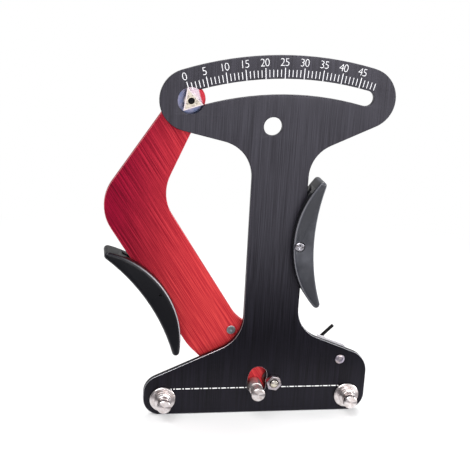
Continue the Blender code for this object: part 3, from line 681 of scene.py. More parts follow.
@dataclass(frozen=True)
class TemperedSteel:
    """Heat-tinted blue steel, with a painted pale lilac highlight towards the top and a painted rose reflection at
    one side.
    """

    blue: Colour = (0.15, 0.19, 0.34)
    # Painted reflections: a pale lilac highlight and a rose reflection of the red lever.
    pale: Tint = Tint((0.74, 0.60, 0.68), 48.0, 1.3, 4.0)
    rose: Tint = Tint((0.55, 0.04, 0.06), 18.0, 4.7, 5.7)
    waver: float = 1.6
    cloud_scale: float = 320.0
    grain_scale: float = 4200.0
    grain_relief: float = 0.006

    def material(self, centre: Point) -> bpy.types.Material:
        """Build the material: each painted reflection is the reach along its own direction, made uneven by noise.

        Args:
            centre: The disc's middle in metres.

        Returns:
            The material.
        """
        tree = ShaderTree("heat_tint_and_painted_reflections")
        cloud = tree.noise(tree.place, self.cloud_scale)
        grain = tree.noise(tree.place, self.grain_scale)
        colour = tree.mix(cloud.between(0.3, 0.7) * 0.3, self.blue, self.pale.colour)
        for tint in (self.pale, self.rose):
            direction = heading(tint.lean)
            reach = tree.along(tree.place, direction) - float(np.dot(direction, centre))
            reach = reach + (cloud - 0.5) * (self.waver * MM)
            colour = tree.mix(reach.between(tint.start * MM, tint.end * MM), colour, tint.colour)
        tree.bump(grain, self.grain_relief, 0.3)
        return tree.principled(base_color=colour, roughness=0.3 + (grain - 0.5) * 0.2, metallic=0.9)


def box_mm(node: str) -> tuple[Vector, Vector]:
    """Return a node's lowest and highest corners in millimetres."""
    low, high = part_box(node)
    return low / MM, high / MM


def metres(place: Pair) -> Point:
    """Return an (x, z) place in millimetres as a point in metres on the plate's front face."""
    return (place[0] * MM, 0.0, place[1] * MM)


def pivot_mm() -> Array:
    """Return the pivot's (x, z) in millimetres, from the frame's joint."""
    place = frame["joints"][0]["pos_m"]
    return np.array([place[0], place[2]]) / MM


@dataclass(frozen=True)
class Stand:
    """Where a round node stands, in millimetres: its axis's (x, z), its radius and its two ends."""

    middle: Pair
    radius: float
    front: float
    back: float

    @classmethod
    def of(cls, node: str) -> Stand:
        """Return where a round node stands, from its box."""
        low, high = box_mm(node)
        return cls(((low.x + high.x) / 2, (low.z + high.z) / 2), (high.x - low.x) / 2, low.y, high.y)


def round_row(radius: float) -> Array:
    """Return one ring's radii where it is a circle."""
    return np.full(COLUMNS, radius)


def hexagon_row(corner: float, turn: float = 0.0) -> Array:
    """Return one ring's radii where it is a hexagon.

    The radius at an angle is the distance to the nearest flat, divided by the cosine of the angle
    from that flat's middle.

    Args:
        corner: The radius at the corners.
        turn: How far the corners are turned, in radians.

    Returns:
        A radius for each column.
    """
    sixth = math.pi / 3
    return corner * math.cos(sixth / 2) / np.cos((ANGLES - turn) % sixth - sixth / 2)


def cross_row(length: float, width: float) -> Array:
    """Return one ring's radii where it is a cross.

    Within an eighth of a turn the edge is the arm's end, then the arm's side, whichever is nearer.

    Args:
        length: From the middle to an arm's end.
        width: Half of an arm's width.

    Returns:
        A radius for each column.
    """
    quarter = ANGLES % (math.pi / 2)
    folded = np.minimum(quarter, math.pi / 2 - quarter)
    side = width / np.maximum(np.sin(folded), width / length * 0.5)
    return np.minimum(length / np.cos(folded), side)


def filleted(corners: list[Corner], ring: bool = False) -> list[Row]:
    """Return the rows of a turned profile with rounded corners.

    Each corner becomes the parabola that leaves both sides at the fillet's length, with one more
    row just outside each end so that flat stretches keep flat normals.

    Args:
        corners: (radius, depth, fillet) in millimetres.
        ring: Whether the profile closes on itself and doesn't start on the axis.

    Returns:
        A row of equal radii and its depth, in order.
    """
    points = np.array([corner[:2] for corner in corners])
    path = []
    for k, (_, _, fillet) in enumerate(corners):
        here = points[k]
        inner = ring or 0 < k < len(corners) - 1
        if not inner or fillet == 0:
            path.append(here[None, :])
            continue
        back = points[k - 1] - here
        ahead = points[(k + 1) % len(points)] - here
        reach = min(fillet, LARGEST_FILLET * np.linalg.norm(back), LARGEST_FILLET * np.linalg.norm(ahead))
        back /= np.linalg.norm(back)
        ahead /= np.linalg.norm(ahead)
        share = np.linspace(0, 1, FILLET_STEPS)[:, None]
        first, last = here + back * reach, here + ahead * reach
        curve = (1 - share) ** 2 * first + 2 * share * (1 - share) * here + share**2 * last
        margin = min(SUPPORT, 0.1 * reach + 0.01)
        path += [(first + back * margin)[None, :], curve, (last + ahead * margin)[None, :]]
    return [(round_row(radius), float(depth)) for radius, depth in np.vstack(path)]


def eased_ring(stand: Stand, bore: float) -> list[Row]:
    """Return the rows of a flat ring with eased edges.

    Args:
        stand: Where the ring stands, with its outer radius and both ends.
        bore: Its inner radius.

    Returns:
        The rows, which close on themselves.
    """
    return filleted([
        (bore, stand.front, BORE_FILLET),
        (stand.radius, stand.front, EDGE_FILLET),
        (stand.radius, stand.back, EDGE_FILLET),
        (bore, stand.back, BORE_FILLET),
    ], ring=True)


def closed_object(name: str, points: Array, quads: Array, sharp_angle: float) -> bpy.types.Object:
    """Make a closed, smooth object at the origin from points and the faces that join them.

    Args:
        name: The object's name.
        points: Points by three, in millimetres.
        quads: Faces by four point numbers.
        sharp_angle: The angle in degrees past which an edge stays crisp.

    Returns:
        The object.
    """
    mesh = bpy.data.meshes.new(name)
    mesh.from_pydata((points * MM).tolist(), [], quads.tolist())
    return welded_object(name, mesh, sharp_angle)


def welded_object(name: str, mesh: bpy.types.Mesh, sharp_angle: float) -> bpy.types.Object:
    """Merge a mesh's doubles, turn its faces outwards, shade it smooth and make its object.

    Args:
        name: The object's name.
        mesh: The mesh, in place.
        sharp_angle: The angle in degrees past which an edge stays crisp.

    Returns:
        The object.
    """
    shape = bmesh.new()
    shape.from_mesh(mesh)
    bmesh.ops.remove_doubles(shape, verts=shape.verts, dist=WELD_DISTANCE * MM)
    bmesh.ops.dissolve_degenerate(shape, edges=shape.edges, dist=WELD_DISTANCE * MM / 4)
    bmesh.ops.recalc_face_normals(shape, faces=shape.faces)
    shape.to_mesh(mesh)
    shape.free()
    mesh.shade_smooth()
    mesh.set_sharp_from_angle(angle=math.radians(sharp_angle))
    piece = bpy.data.objects.new(name, mesh)
    bpy.context.scene.collection.objects.link(piece)
    return piece


def grid_object(name: str, points: Array, wrap_rows: bool) -> bpy.types.Object:
    """Turn a grid of points into a closed object.

    Quads join each row to the next, and the last column to the first. Points that coincide, as at a
    pole, are merged.

    Args:
        name: The object's name.
        points: Rows by columns by three, in millimetres.
        wrap_rows: Whether the last row joins the first.

    Returns:
        The object.
    """
    rows, columns = points.shape[:2]
    index = np.arange(rows * columns).reshape(rows, columns)
    index = np.hstack([index, index[:, :1]])
    if wrap_rows:
        index = np.vstack([index, index[:1]])
    quads = np.stack([index[:-1, :-1], index[1:, :-1], index[1:, 1:], index[:-1, 1:]], axis=-1)
    return closed_object(name, points.reshape(-1, 3), quads.reshape(-1, 4), TURNED_SHARP_ANGLE)


def turned(name: str, rows: list[Row], place: Pair, ring: bool) -> bpy.types.Object:
    """Make a piece whose rows stand about an axis along Y.

    A point is the place plus (radius cosine angle, depth, radius sine angle).

    Args:
        name: The object's name.
        rows: Radii for each angle, and a depth, for each row.
        place: The axis's (x, z).
        ring: Whether the rows close on themselves, as in a washer.

    Returns:
        The object.
    """
    radii = np.array([row[0] for row in rows])
    depths = np.array([row[1] for row in rows])[:, None] + 0 * radii
    points = [place[0] + radii * np.cos(ANGLES), depths, place[1] + radii * np.sin(ANGLES)]
    return grid_object(name, np.stack(points, axis=-1), ring)


def tube(name: str, path: Array, radius: float, chamfer: float, sides: int) -> bpy.types.Object:
    """Carry a round section along a path that never runs along Y.

    At each point the section lies across the path's direction: one of its axes is that direction
    crossed with Y and the other is the two crossed. Both ends close through a chamfer.

    Args:
        name: The object's name.
        path: Points by three, in millimetres.
        radius: The section's radius.
        chamfer: The size of the chamfer at both ends.
        sides: The section's points.

    Returns:
        The object.
    """
    ahead = np.gradient(path, axis=0)
    ahead /= np.linalg.norm(ahead, axis=1, keepdims=True)
    first, last = path[:1] + ahead[:1] * chamfer, path[-1:] - ahead[-1:] * chamfer
    stations = np.vstack([path[:1], path[:1], first, path[1:-1], last, path[-1:], path[-1:]])
    ahead = np.vstack([ahead[:1], ahead[:1], ahead[:1], ahead[1:-1], ahead[-1:], ahead[-1:], ahead[-1:]])
    reach = np.full(len(stations), radius)
    reach[[0, -1]] = 0.0
    reach[[1, -2]] = radius - chamfer
    side = np.cross(ahead, ALONG_Y)
    side /= np.linalg.norm(side, axis=1, keepdims=True)
    rise = np.cross(side, ahead)
    turn = np.linspace(0, math.tau, sides, endpoint=False)
    ring = np.cos(turn)[None, :, None] * side[:, None, :] + np.sin(turn)[None, :, None] * rise[:, None, :]
    return grid_object(name, stations[:, None, :] + ring * reach[:, None, None], False)


def raised_bars(name: str, middles: Array, ups: Array, widths: Array, heights: Array) -> bpy.types.Object:
    """Make thin bars on the plate's front face, such as a scale's ticks.

    A bar's corners are its middle plus or minus half its height along its own up direction and half
    its width across it, once just above the face and once just below it.

    Args:
        name: The object's name.
        middles: Bars by two, the (x, z) middles in millimetres.
        ups: Bars by two, unit vectors.
        widths: A width for each bar.
        heights: A height for each bar.

    Returns:
        One object with all the bars.
    """
    sides = np.stack([ups[:, 1], -ups[:, 0]], axis=1)
    signs = np.array([(-1, -1), (1, -1), (1, 1), (-1, 1)]) / 2
    flat = (
        middles[:, None, :]
        + signs[None, :, :1] * sides[:, None, :] * widths[:, None, None]
        + signs[None, :, 1:] * ups[:, None, :] * heights[:, None, None]
    )
    layers = [np.insert(flat, 1, depth, axis=2) for depth in (-MARK_RISE, MARK_RISE)]
    sheet = np.array([(0, 1, 2, 3), (7, 6, 5, 4), (0, 4, 5, 1), (1, 5, 6, 2), (2, 6, 7, 3), (3, 7, 4, 0)])
    quads = (np.arange(len(middles))[:, None, None] * 8 + sheet[None]).reshape(-1, 4)
    return closed_object(name, np.concatenate(layers, axis=1).reshape(-1, 3), quads, SHARP_ANGLE)


def dress(piece: bpy.types.Object, body: Body, material: bpy.types.Material) -> None:
    """Give a piece its material and body, and report it.

    Args:
        piece: The finished object.
        body: What it moves with.
        material: What it is covered with.
    """
    piece.data.materials.clear()
    piece.data.materials.append(material)
    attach(piece, body.value)
    log.info("%s: %d faces, on the %s", piece.name, len(piece.data.polygons), body.value)


def stand_for(node: str, piece: bpy.types.Object, material: bpy.types.Material) -> None:
    """Let a piece stand for a node, dressed and on the node's own body.

    Args:
        node: The node that isn't shown any more.
        piece: What is shown instead.
        material: What it is covered with.
    """
    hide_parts(node)
    on_lever = node in frame["record"]["behaviour"]["bodies"][Body.LEVER.value]
    dress(piece, Body.LEVER if on_lever else Body.FRAME, material)


def smooth_copy(
    node: str, name: str, material: bpy.types.Material, sharp_angle: float
) -> None:
    """Let a welded copy of a node's shape stand for it, with smooth, area-weighted normals.

    Args:
        node: The node to copy.
        name: The copy's name.
        material: What it is covered with.
        sharp_angle: The angle in degrees past which an edge stays crisp.
    """
    mesh = frame["nodes"][node].data.copy()
    mesh.materials.clear()
    piece = welded_object(name, mesh, sharp_angle)
    piece.modifiers.new("flat_faces_first", "WEIGHTED_NORMAL").keep_sharp = True
    stand_for(node, piece, material)


def turned_piece(
    node: str, rows: list[Row], material: bpy.types.Material, ring: bool = False, name: str = ""
) -> None:
    """Let rows turned about a node's own axis stand for it.

    Args:
        node: The node that it stands for.
        rows: Radii and a depth for each row.
        material: What it is covered with.
        ring: Whether the rows close on themselves.
        name: The piece's name, where it isn't the node's with _turned after it.
    """
    piece = turned(name or node + "_turned", rows, Stand.of(node).middle, ring)
    stand_for(node, piece, material)


POLISHED: Colour = (0.70, 0.66, 0.66)
POLISHED_TINT: Colour = (0.48, 0.41, 0.39)
ZINC: Colour = (0.46, 0.45, 0.48)
ZINC_TINT: Colour = (0.36, 0.34, 0.39)

# Painted shade: the plate darkens towards its base and the lever towards its left end.
BLACK_PLATE = BrushedAnodising(
    "black_brushed_anodising", (0.013, 0.011, 0.018), (0.042, 0.039, 0.053), (0.70, 0.70, 0.74),
    lean=90.0, metallic=0.35, roughness=0.4, band_depth=0.25, grain_depth=0.8,
    shade=(0.006, 0.005, 0.010), shade_from=40.0, shade_to=110.0, shade_lean=90.0, shade_metal=0.31,
    # The plate's bright edge is kept to its lower part, where it serves as a painted highlight.
    edge_metal=0.9, edge_gather=1.0, wall_metal=0.92,
)
RED_LEVER = BrushedAnodising(
    # The lever's pinkish white edge colour is partly a painted highlight.
    "red_brushed_anodising", (0.50, 0.014, 0.032), (0.88, 0.088, 0.082), (0.90, 0.30, 0.32),
    lean=-57.1, metallic=0.45, roughness=0.36, band_depth=0.15, grain_depth=1.2,
    shade=(0.18, 0.0, 0.017), shade_from=-96.0, shade_to=-26.0, shade_lean=-7.0,
    gloss_tint=(1.0, 0.2, 0.32), grain_width=0.34,
)
# Each grip's third colour is its painted highlight line.
LEFT_GRIP_BLACK = MouldedGrip(
    "left_satin_black", (0.002, 0.002, 0.004), (0.010, 0.009, 0.014), (0.42, 0.42, 0.45),
    inward=(0.77, 0.0, 0.64), wear=0.2,
)
# This grip is given paler colours, more pale patches and more gloss than the left one.
RIGHT_GRIP_BLACK = MouldedGrip(
    "right_satin_black", (0.022, 0.023, 0.030), (0.072, 0.074, 0.090), (0.16, 0.16, 0.18),
    inward=(-1.0, 0.0, 0.0), wear=0.8,
)
SCALE_WHITE = Enamel("white_engraving", (0.84, 0.84, 0.86), (0.74, 0.74, 0.77))
LINE_WHITE = Enamel("bright_engraving", (1.0, 1.0, 1.0), (0.96, 0.96, 0.96))
ZINC_PLATE = PlatedMetal("bright_zinc_plate", (0.96, 0.95, 0.97), (0.88, 0.86, 0.90), 0.5)
BLACK_OXIDE = PlatedMetal("black_oxide_steel", (0.012, 0.012, 0.014), (0.03, 0.028, 0.028), 0.4)
FIXED_POST_STEEL = TurnedMetal(POLISHED, POLISHED_TINT, 0.2, side_matte=0.05)
MOVING_POST_STEEL = TurnedMetal(POLISHED, POLISHED_TINT, 0.3, side_matte=0.24)
SPACER_STEEL = TurnedMetal(POLISHED, POLISHED_TINT, 0.2)
NUT_STEEL = TurnedMetal((0.44, 0.40, 0.45), POLISHED_TINT, 0.28)
SCREW_ZINC = TurnedMetal(ZINC, ZINC_TINT, 0.26)
BOLT_ZINC = TurnedMetal((0.66, 0.60, 0.48), ZINC_TINT, 0.26)
WASHER_ZINC = TurnedMetal(ZINC, ZINC_TINT, 0.34)
STUD_ZINC = TurnedMetal((0.52, 0.64, 0.65), ZINC, 0.3, sector_depth=0.15)
RIVET_STEEL = TurnedMetal((0.42, 0.38, 0.46), POLISHED_TINT, 0.3, sector_depth=0.15)
BUSH_BRONZE = TurnedMetal((0.42, 0.20, 0.11), (0.30, 0.13, 0.07), 0.32)
# Painted shade: the pivot washer is coloured near black-red, as dark as the shaded red where it shows through the
# slot.
PAINTED_SHADE_BRONZE = TurnedMetal((0.12, 0.012, 0.012), (0.16, 0.03, 0.02), 0.34)


@dataclass
class FramePlate:
    """The black frame plate and the spring's anchor behind its right shoulder."""

    sharp_angle: float = 30.0

    def build(self) -> None:
        """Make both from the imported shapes."""
        for node, name, slot, finish in (
            ("front_plate", "black_frame_plate", Slot.BLACK_ANODISED, BLACK_PLATE),
            ("spring_anchor", "bent_spring_anchor", Slot.BRIGHT_ZINC, ZINC_PLATE),
        ):
            smooth_copy(node, name, finish.material(), self.sharp_angle)


@dataclass
class Scale:
    """The engraved scale: ticks, numerals and the line that shows the spoke's run."""

    units: int = 49
    units_per_number: int = 5
    highest_number: int = 45
    unit_angle: float = 0.6719
    zero_angle: float = -18.44
    slot_outer_radius: float = 164.95
    major_start: float = 0.1
    major_length: float = 5.4
    major_width: float = 0.42
    minor_start: float = 0.95
    minor_length: float = 3.6
    minor_width: float = 0.36
    numeral_height: float = 3.8
    numeral_gap: float = 1.0
    numeral_aside: float = -0.3
    numeral_narrowing: float = 0.95
    numeral_thinning: float = 0.016
    numeral_spacing: float = 0.88
    numeral_extrusion: float = 0.005
    line_height: float = 14.9
    line_width: float = 0.55
    dash_length: float = 2.6
    dot_length: float = 0.8
    line_spans: tuple[Span, ...] = ((-48.8, -5.4, 4.92), (13.9, 46.5, 4.75))

    def build(self) -> None:
        """Make all the white marks."""
        ink = SCALE_WHITE.material()
        for piece in (self.ticks(), self.numerals()):
            dress(piece, Body.FRAME, ink)
        dress(self.spoke_line(), Body.FRAME, LINE_WHITE.material())

    def ticks(self) -> bpy.types.Object:
        """Make the ticks.

        A tick stands on the radius at its scale angle. Each fifth one starts at the slot's edge and
        is longer.

        Returns:
            One object with every tick.
        """
        count = np.arange(self.units + 1)
        angle = np.radians(self.zero_angle + self.unit_angle * count)
        ups = np.stack([np.sin(angle), np.cos(angle)], axis=1)
        major = count % self.units_per_number == 0
        lengths = np.where(major, self.major_length, self.minor_length)
        starts = self.slot_outer_radius + np.where(major, self.major_start, self.minor_start)
        widths = np.where(major, self.major_width, self.minor_width)
        middles = pivot_mm() + ups * (starts + lengths / 2)[:, None]
        return raised_bars("scale_ticks", middles, ups, widths, lengths)

    def numerals(self) -> bpy.types.Object:
        """Make the numbers from 0 up, each turned to stand on its radius.

        Returns:
            One object with every number.
        """
        joined = bmesh.new()
        base = self.slot_outer_radius + self.major_length + self.numeral_gap
        for number in range(0, self.highest_number + 1, self.units_per_number):
            turn = math.radians(self.zero_angle + self.unit_angle * number)
            words = bpy.data.curves.new("numeral", "FONT")
            words.body = str(number)
            words.align_x = "CENTER"
            words.size = 1.0
            words.extrude = self.numeral_extrusion
            words.offset = -self.numeral_thinning
            words.space_character = self.numeral_spacing
            writing = bpy.data.objects.new("numeral", words)
            shape = bmesh.new()
            shape.from_mesh(writing.to_mesh())
            size = self.numeral_height / max(vertex.co.y for vertex in shape.verts)
            thickness = MARK_RISE / words.extrude
            upright = Matrix.Diagonal((size * self.numeral_narrowing, size, thickness, 1.0))
            stand = Matrix.Rotation(math.pi / 2, 4, "X")
            out = pivot_mm() + base * np.array([math.sin(turn), math.cos(turn)])
            out += self.numeral_aside * np.array([math.cos(turn), -math.sin(turn)])
            place = Matrix.Translation((out[0], 0, out[1])) @ Matrix.Rotation(turn, 4, "Y")
            shape.transform(Matrix.Scale(MM, 4) @ place @ stand @ upright)
            mesh = bpy.data.meshes.new("numeral")
            shape.to_mesh(mesh)
            shape.free()
            joined.from_mesh(mesh)
            bpy.data.meshes.remove(mesh)
            bpy.data.objects.remove(writing)
            bpy.data.curves.remove(words)
        mesh = bpy.data.meshes.new("scale_numerals")
        joined.to_mesh(mesh)
        joined.free()
        return welded_object("scale_numerals", mesh, SHARP_ANGLE)

    def spoke_line(self) -> bpy.types.Object:
        """Make the dashed line that the spoke follows, a dash and a dot in each period.

        Returns:
            One object with every dash and dot.
        """
        middles, lengths = [], []
        for start, end, period in self.line_spans:
            offset = np.arange(start, end - self.dash_length / 2, period)
            middles += [offset + self.dash_length / 2, offset + (period + self.dash_length) / 2]
            lengths += [np.full(len(offset), self.dash_length), np.full(len(offset), self.dot_length)]
        across, widths = np.concatenate(middles), np.concatenate(lengths)
        flat = np.stack([across, np.full(len(across), self.line_height)], axis=1)
        ups = np.tile((0.0, 1.0), (len(across), 1))
        return raised_bars("spoke_line", flat, ups, widths, np.full(len(across), self.line_width))


@dataclass
class SpokePosts:
    """The two fixed posts and the moving post, turned from bright steel."""

    flange_thickness: float = 1.5
    flange_chamfer: float = 0.5
    shoulder_radius: float = 4.6
    shoulder_length: float = 2.0
    shoulder_fillet: float = 0.25
    groove_radius: float = 3.2
    groove_fillet: float = 0.5
    head_radius: float = 3.7
    head_length: float = 2.4
    head_fillet: float = 0.12
    nose_chamfer: float = 0.5
    centre_mark: Corner = (0.35, 0.25, 0.05)
    bore_radius: float = 1.7
    screw_bite: float = 5.0
    neck: float = 3.4

    def build(self) -> None:
        """Make the fixed posts with their flanges, then the plain one that the lever carries."""
        for node in ("left_post", "right_post"):
            stand = Stand.of(node)
            face = stand.back - self.flange_thickness
            flange = [
                (stand.radius, stand.back, EDGE_FILLET),
                (stand.radius, face + self.flange_chamfer, EDGE_FILLET),
                (stand.radius - self.flange_chamfer, face, EDGE_FILLET),
                (self.shoulder_radius, face, self.shoulder_fillet),
            ]
            shank = (self.shoulder_radius, face - self.shoulder_length)
            self.post(node, flange, shank, FIXED_POST_STEEL)
        stand = Stand.of("moving_post")
        rim = [(stand.radius, stand.back, EDGE_FILLET)]
        self.post("moving_post", rim, (stand.radius, -self.neck), MOVING_POST_STEEL)

    def post(self, node: str, rear: list[Corner], shank: Pair, finish: TurnedMetal) -> None:
        """Make one post: a blind screw hole, its rear part, the groove and the head.

        Args:
            node: The node that it stands for.
            rear: The profile from the hole's mouth to the shank.
            shank: The shank's radius and the depth of its front end.
            finish: What it is covered with.
        """
        stand = Stand.of(node)
        radius, front = shank
        floor = stand.back - self.screw_bite - SEAT_GAP
        head_back = stand.front + self.head_length
        mark_radius, mark_depth, mark_fillet = self.centre_mark
        corners = [
            (0.0, floor, 0.0),
            (self.bore_radius, floor, BORE_FILLET),
            (self.bore_radius, stand.back, BORE_FILLET),
            *rear,
            (radius, front, EDGE_FILLET),
            (self.groove_radius, front - (radius - self.groove_radius) / 2, self.groove_fillet),
            (self.groove_radius, head_back + (self.head_radius - self.groove_radius), self.groove_fillet),
            (self.head_radius, head_back, self.head_fillet),
            (self.head_radius, stand.front + self.nose_chamfer, self.head_fillet),
            (self.head_radius - self.nose_chamfer, stand.front, self.head_fillet),
            (mark_radius, stand.front, mark_fillet),
            (0.0, stand.front + mark_depth, 0.0),
        ]
        turned_piece(node, filleted(corners), finish.material(node))


@dataclass
class Fasteners:
    """Screws, rivets and the pivot's bolt, with their heads, sockets and recesses.

    Each kind of screw is given by its head's height and its shank's radius.
    """

    small_screw: Pair = (1.8, 1.4)
    pivot_screw: Pair = (2.4, 2.0)
    grip_screw: Pair = (1.2, 1.4)
    socket_corner: float = 1.155
    pivot_socket_corner: float = 1.674
    cross_length: float = 1.5
    cross_width: float = 0.4
    recess_share: float = 0.6
    recess_lip: float = 0.06
    recess_land: float = 0.3
    recess_floor: Pair = (0.05, 0.04)
    drill_point: float = 0.12
    tip_chamfer: float = 0.3
    tip_fillet: float = 0.08
    crown: float = 0.55
    crown_fillet: float = 0.3
    pin_radius: float = 1.5
    stud_cap: Pair = (2.3, 1.0)
    stud_face: float = 0.6
    rivet_head: float = 0.9

    def build(self) -> None:
        """Make every fastener."""
        socket = hexagon_row(self.socket_corner)
        cross = cross_row(self.cross_length, self.cross_width)
        for node in ("left_post_screw", "right_post_screw", "moving_post_screw"):
            self.screw(node, socket, self.small_screw, SCREW_ZINC.material(node))
        self.screw("pointer_screw", socket, self.small_screw, BLACK_OXIDE.material())
        bolt_socket = hexagon_row(self.pivot_socket_corner)
        self.screw("pivot_bolt", bolt_socket, self.pivot_screw, BOLT_ZINC.material("pivot_bolt"))
        for node, to_back in (("left_grip_screw", True), ("right_grip_screw", False)):
            self.screw(node, cross, self.grip_screw, SCREW_ZINC.material(node), to_back)
        self.stud("spring_stud")
        self.rivet("anchor_rivet")

    def screw(
        self, node: str, recess: Array, kind: Pair, material: bpy.types.Material, to_back: bool = True,
    ) -> None:
        """Make a screw whose head is at its back or front end.

        Args:
            node: The node that it stands for.
            recess: The recess's radii for each column.
            kind: The head's height and the shank's radius.
            material: What it is covered with.
            to_back: Whether the head is at the back.
        """
        stand = Stand.of(node)
        height, shank = kind
        sign = 1.0 if to_back else -1.0
        top, tip = (stand.back, stand.front) if to_back else (stand.front, stand.back)
        head, seat = stand.radius, top - sign * height
        rows = filleted([
            (0.0, tip, 0.0),
            (shank - self.tip_chamfer, tip, self.tip_fillet),
            (shank, tip + sign * self.tip_chamfer, self.tip_fillet),
            (shank, seat, BORE_FILLET),
            (head, seat, EDGE_FILLET),
            (head, top - sign * self.crown, self.crown_fillet),
            (head - self.crown, top, self.crown_fillet),
            (float(recess.max()) + self.recess_land, top, 0.0),
        ])
        floor = top - sign * height * self.recess_share
        inset, rise = self.recess_floor
        rows += [(recess + self.recess_lip, top), (recess, top - sign * self.recess_lip)]
        rows += [(recess, floor + sign * rise), (recess - inset, floor)]
        rows += [(recess * 0.0, floor - sign * self.drill_point)]
        turned_piece(node, rows, material)

    def stud(self, node: str) -> None:
        """Make the stud on the lever, with a flat front face and a cap that keeps the spring's leg.

        Args:
            node: The node that it stands for.
        """
        stand = Stand.of(node)
        face_back = stand.front + self.stud_face
        front = [
            (0.0, stand.front + 0.1, 0.0),
            (0.7, stand.front, 0.2),
            (stand.radius, stand.front, 0.3),
            (stand.radius, face_back, BORE_FILLET),
        ]
        self.pinned(node, front, face_back, self.stud_cap, STUD_ZINC)

    def rivet(self, node: str) -> None:
        """Make the anchor's rivet, with a low domed head in front and a flat one behind.

        Args:
            node: The node that it stands for.
        """
        stand = Stand.of(node)
        head_back = stand.front + self.rivet_head
        front = [
            (0.0, stand.front + 0.08, 0.0),
            (0.9, stand.front, 0.3),
            (stand.radius - 0.9, stand.front, 0.5),
            (stand.radius - 0.1, stand.front + self.rivet_head * 0.55, 0.3),
            (stand.radius, head_back, 0.05),
        ]
        cap = (stand.radius, self.rivet_head)
        self.pinned(node, front, head_back, cap, RIVET_STEEL)

    def pinned(
        self, node: str, front: list[Corner], neck: float, cap: Pair, finish: TurnedMetal
    ) -> None:
        """Carry a front head's profile on into a pin and a flat cap behind.

        Args:
            node: The node that it stands for.
            front: The front head's profile.
            neck: The depth where the pin starts.
            cap: The cap's radius and height.
            finish: What it is covered with.
        """
        back = Stand.of(node).back
        radius, height = cap
        corners = [
            *front,
            (self.pin_radius, neck, 0.08),
            (self.pin_radius, back - height, 0.08),
            (radius, back - height, 0.12),
            (radius, back, 0.4),
            (0.0, back, 0.0),
        ]
        turned_piece(node, filleted(corners), finish.material(node))


@dataclass
class PivotStack:
    """The pivot's nut, washers and stepped bush."""

    bolt_bore: float = 2.3
    washer_bore: float = 3.6
    nut_corner: float = 4.33
    nut_turn: float = -12.0
    nut_chamfer: float = 0.3
    nut_chamfer_span: Pair = (0.12, 1.3)
    nut_chamfer_rows: int = 14
    nut_chamfer_slope: float = 1.15
    nut_easing: float = 0.25
    nut_rear_easing: Pair = (0.08, 0.1)
    nut_mouth: float = 0.35
    bush_journal: float = 3.3
    barrel_fillet: float = 0.2

    def build(self) -> None:
        """Make the stack from front to back."""
        self.nut("pivot_nut")
        self.washer("pivot_washer", self.washer_bore, PAINTED_SHADE_BRONZE)
        self.bush("pivot_bush")
        self.washer("spring_washer", self.bolt_bore, WASHER_ZINC)

    def nut(self, node: str) -> None:
        """Make the hexagon nut.

        Its side is the smaller of a hexagon and a cone that narrows towards the front, which leaves
        the curved corner cuts of a chamfered nut. Its front edge is eased all round.

        Args:
            node: The node that it stands for.
        """
        stand, bore = Stand.of(node), self.bolt_bore
        hexagon = hexagon_row(self.nut_corner, math.radians(self.nut_turn))
        narrow = self.nut_corner * math.cos(math.pi / 6) + self.nut_chamfer
        start, end = self.nut_chamfer_span
        depths = np.linspace(stand.front + start, stand.front + end, self.nut_chamfer_rows)
        cone = narrow + (depths - stand.front) * self.nut_chamfer_slope
        inset, rise = self.nut_rear_easing
        rows: list[Row] = [(round_row(bore + self.nut_mouth), stand.front)]
        rows += [(np.minimum(hexagon, narrow) - self.nut_easing, stand.front)]
        rows += [(np.minimum(hexagon, limit), depth) for limit, depth in zip(cone, depths)]
        rows += [(hexagon, stand.back - rise), (hexagon - inset, stand.back), (round_row(bore), stand.back)]
        rows += [(round_row(bore), stand.front + self.nut_mouth)]
        material = NUT_STEEL.material(node)
        turned_piece(node, rows, material, ring=True, name="hexagon_pivot_nut")

    def washer(self, node: str, bore: float, finish: TurnedMetal) -> None:
        """Make a flat ring with eased edges.

        Args:
            node: The node that it stands for.
            bore: Its bore's radius.
            finish: What it is covered with.
        """
        turned_piece(node, eased_ring(Stand.of(node), bore), finish.material(node), ring=True)

    def bush(self, node: str) -> None:
        """Make the stepped bush: a journal for the lever and a barrel for the coil.

        Args:
            node: The node that it stands for.
        """
        stand = Stand.of(node)
        shoulder = Stand.of("lever_arm").back + SEAT_GAP
        rows = filleted([
            (self.bolt_bore, stand.front, BORE_FILLET),
            (self.bush_journal, stand.front, EDGE_FILLET),
            (self.bush_journal, shoulder, BORE_FILLET),
            (stand.radius, shoulder, EDGE_FILLET),
            (stand.radius, stand.back, self.barrel_fillet),
            (self.bolt_bore, stand.back, BORE_FILLET),
        ], ring=True)
        material = BUSH_BRONZE.material(node)
        turned_piece(node, rows, material, ring=True, name="stepped_pivot_bush")


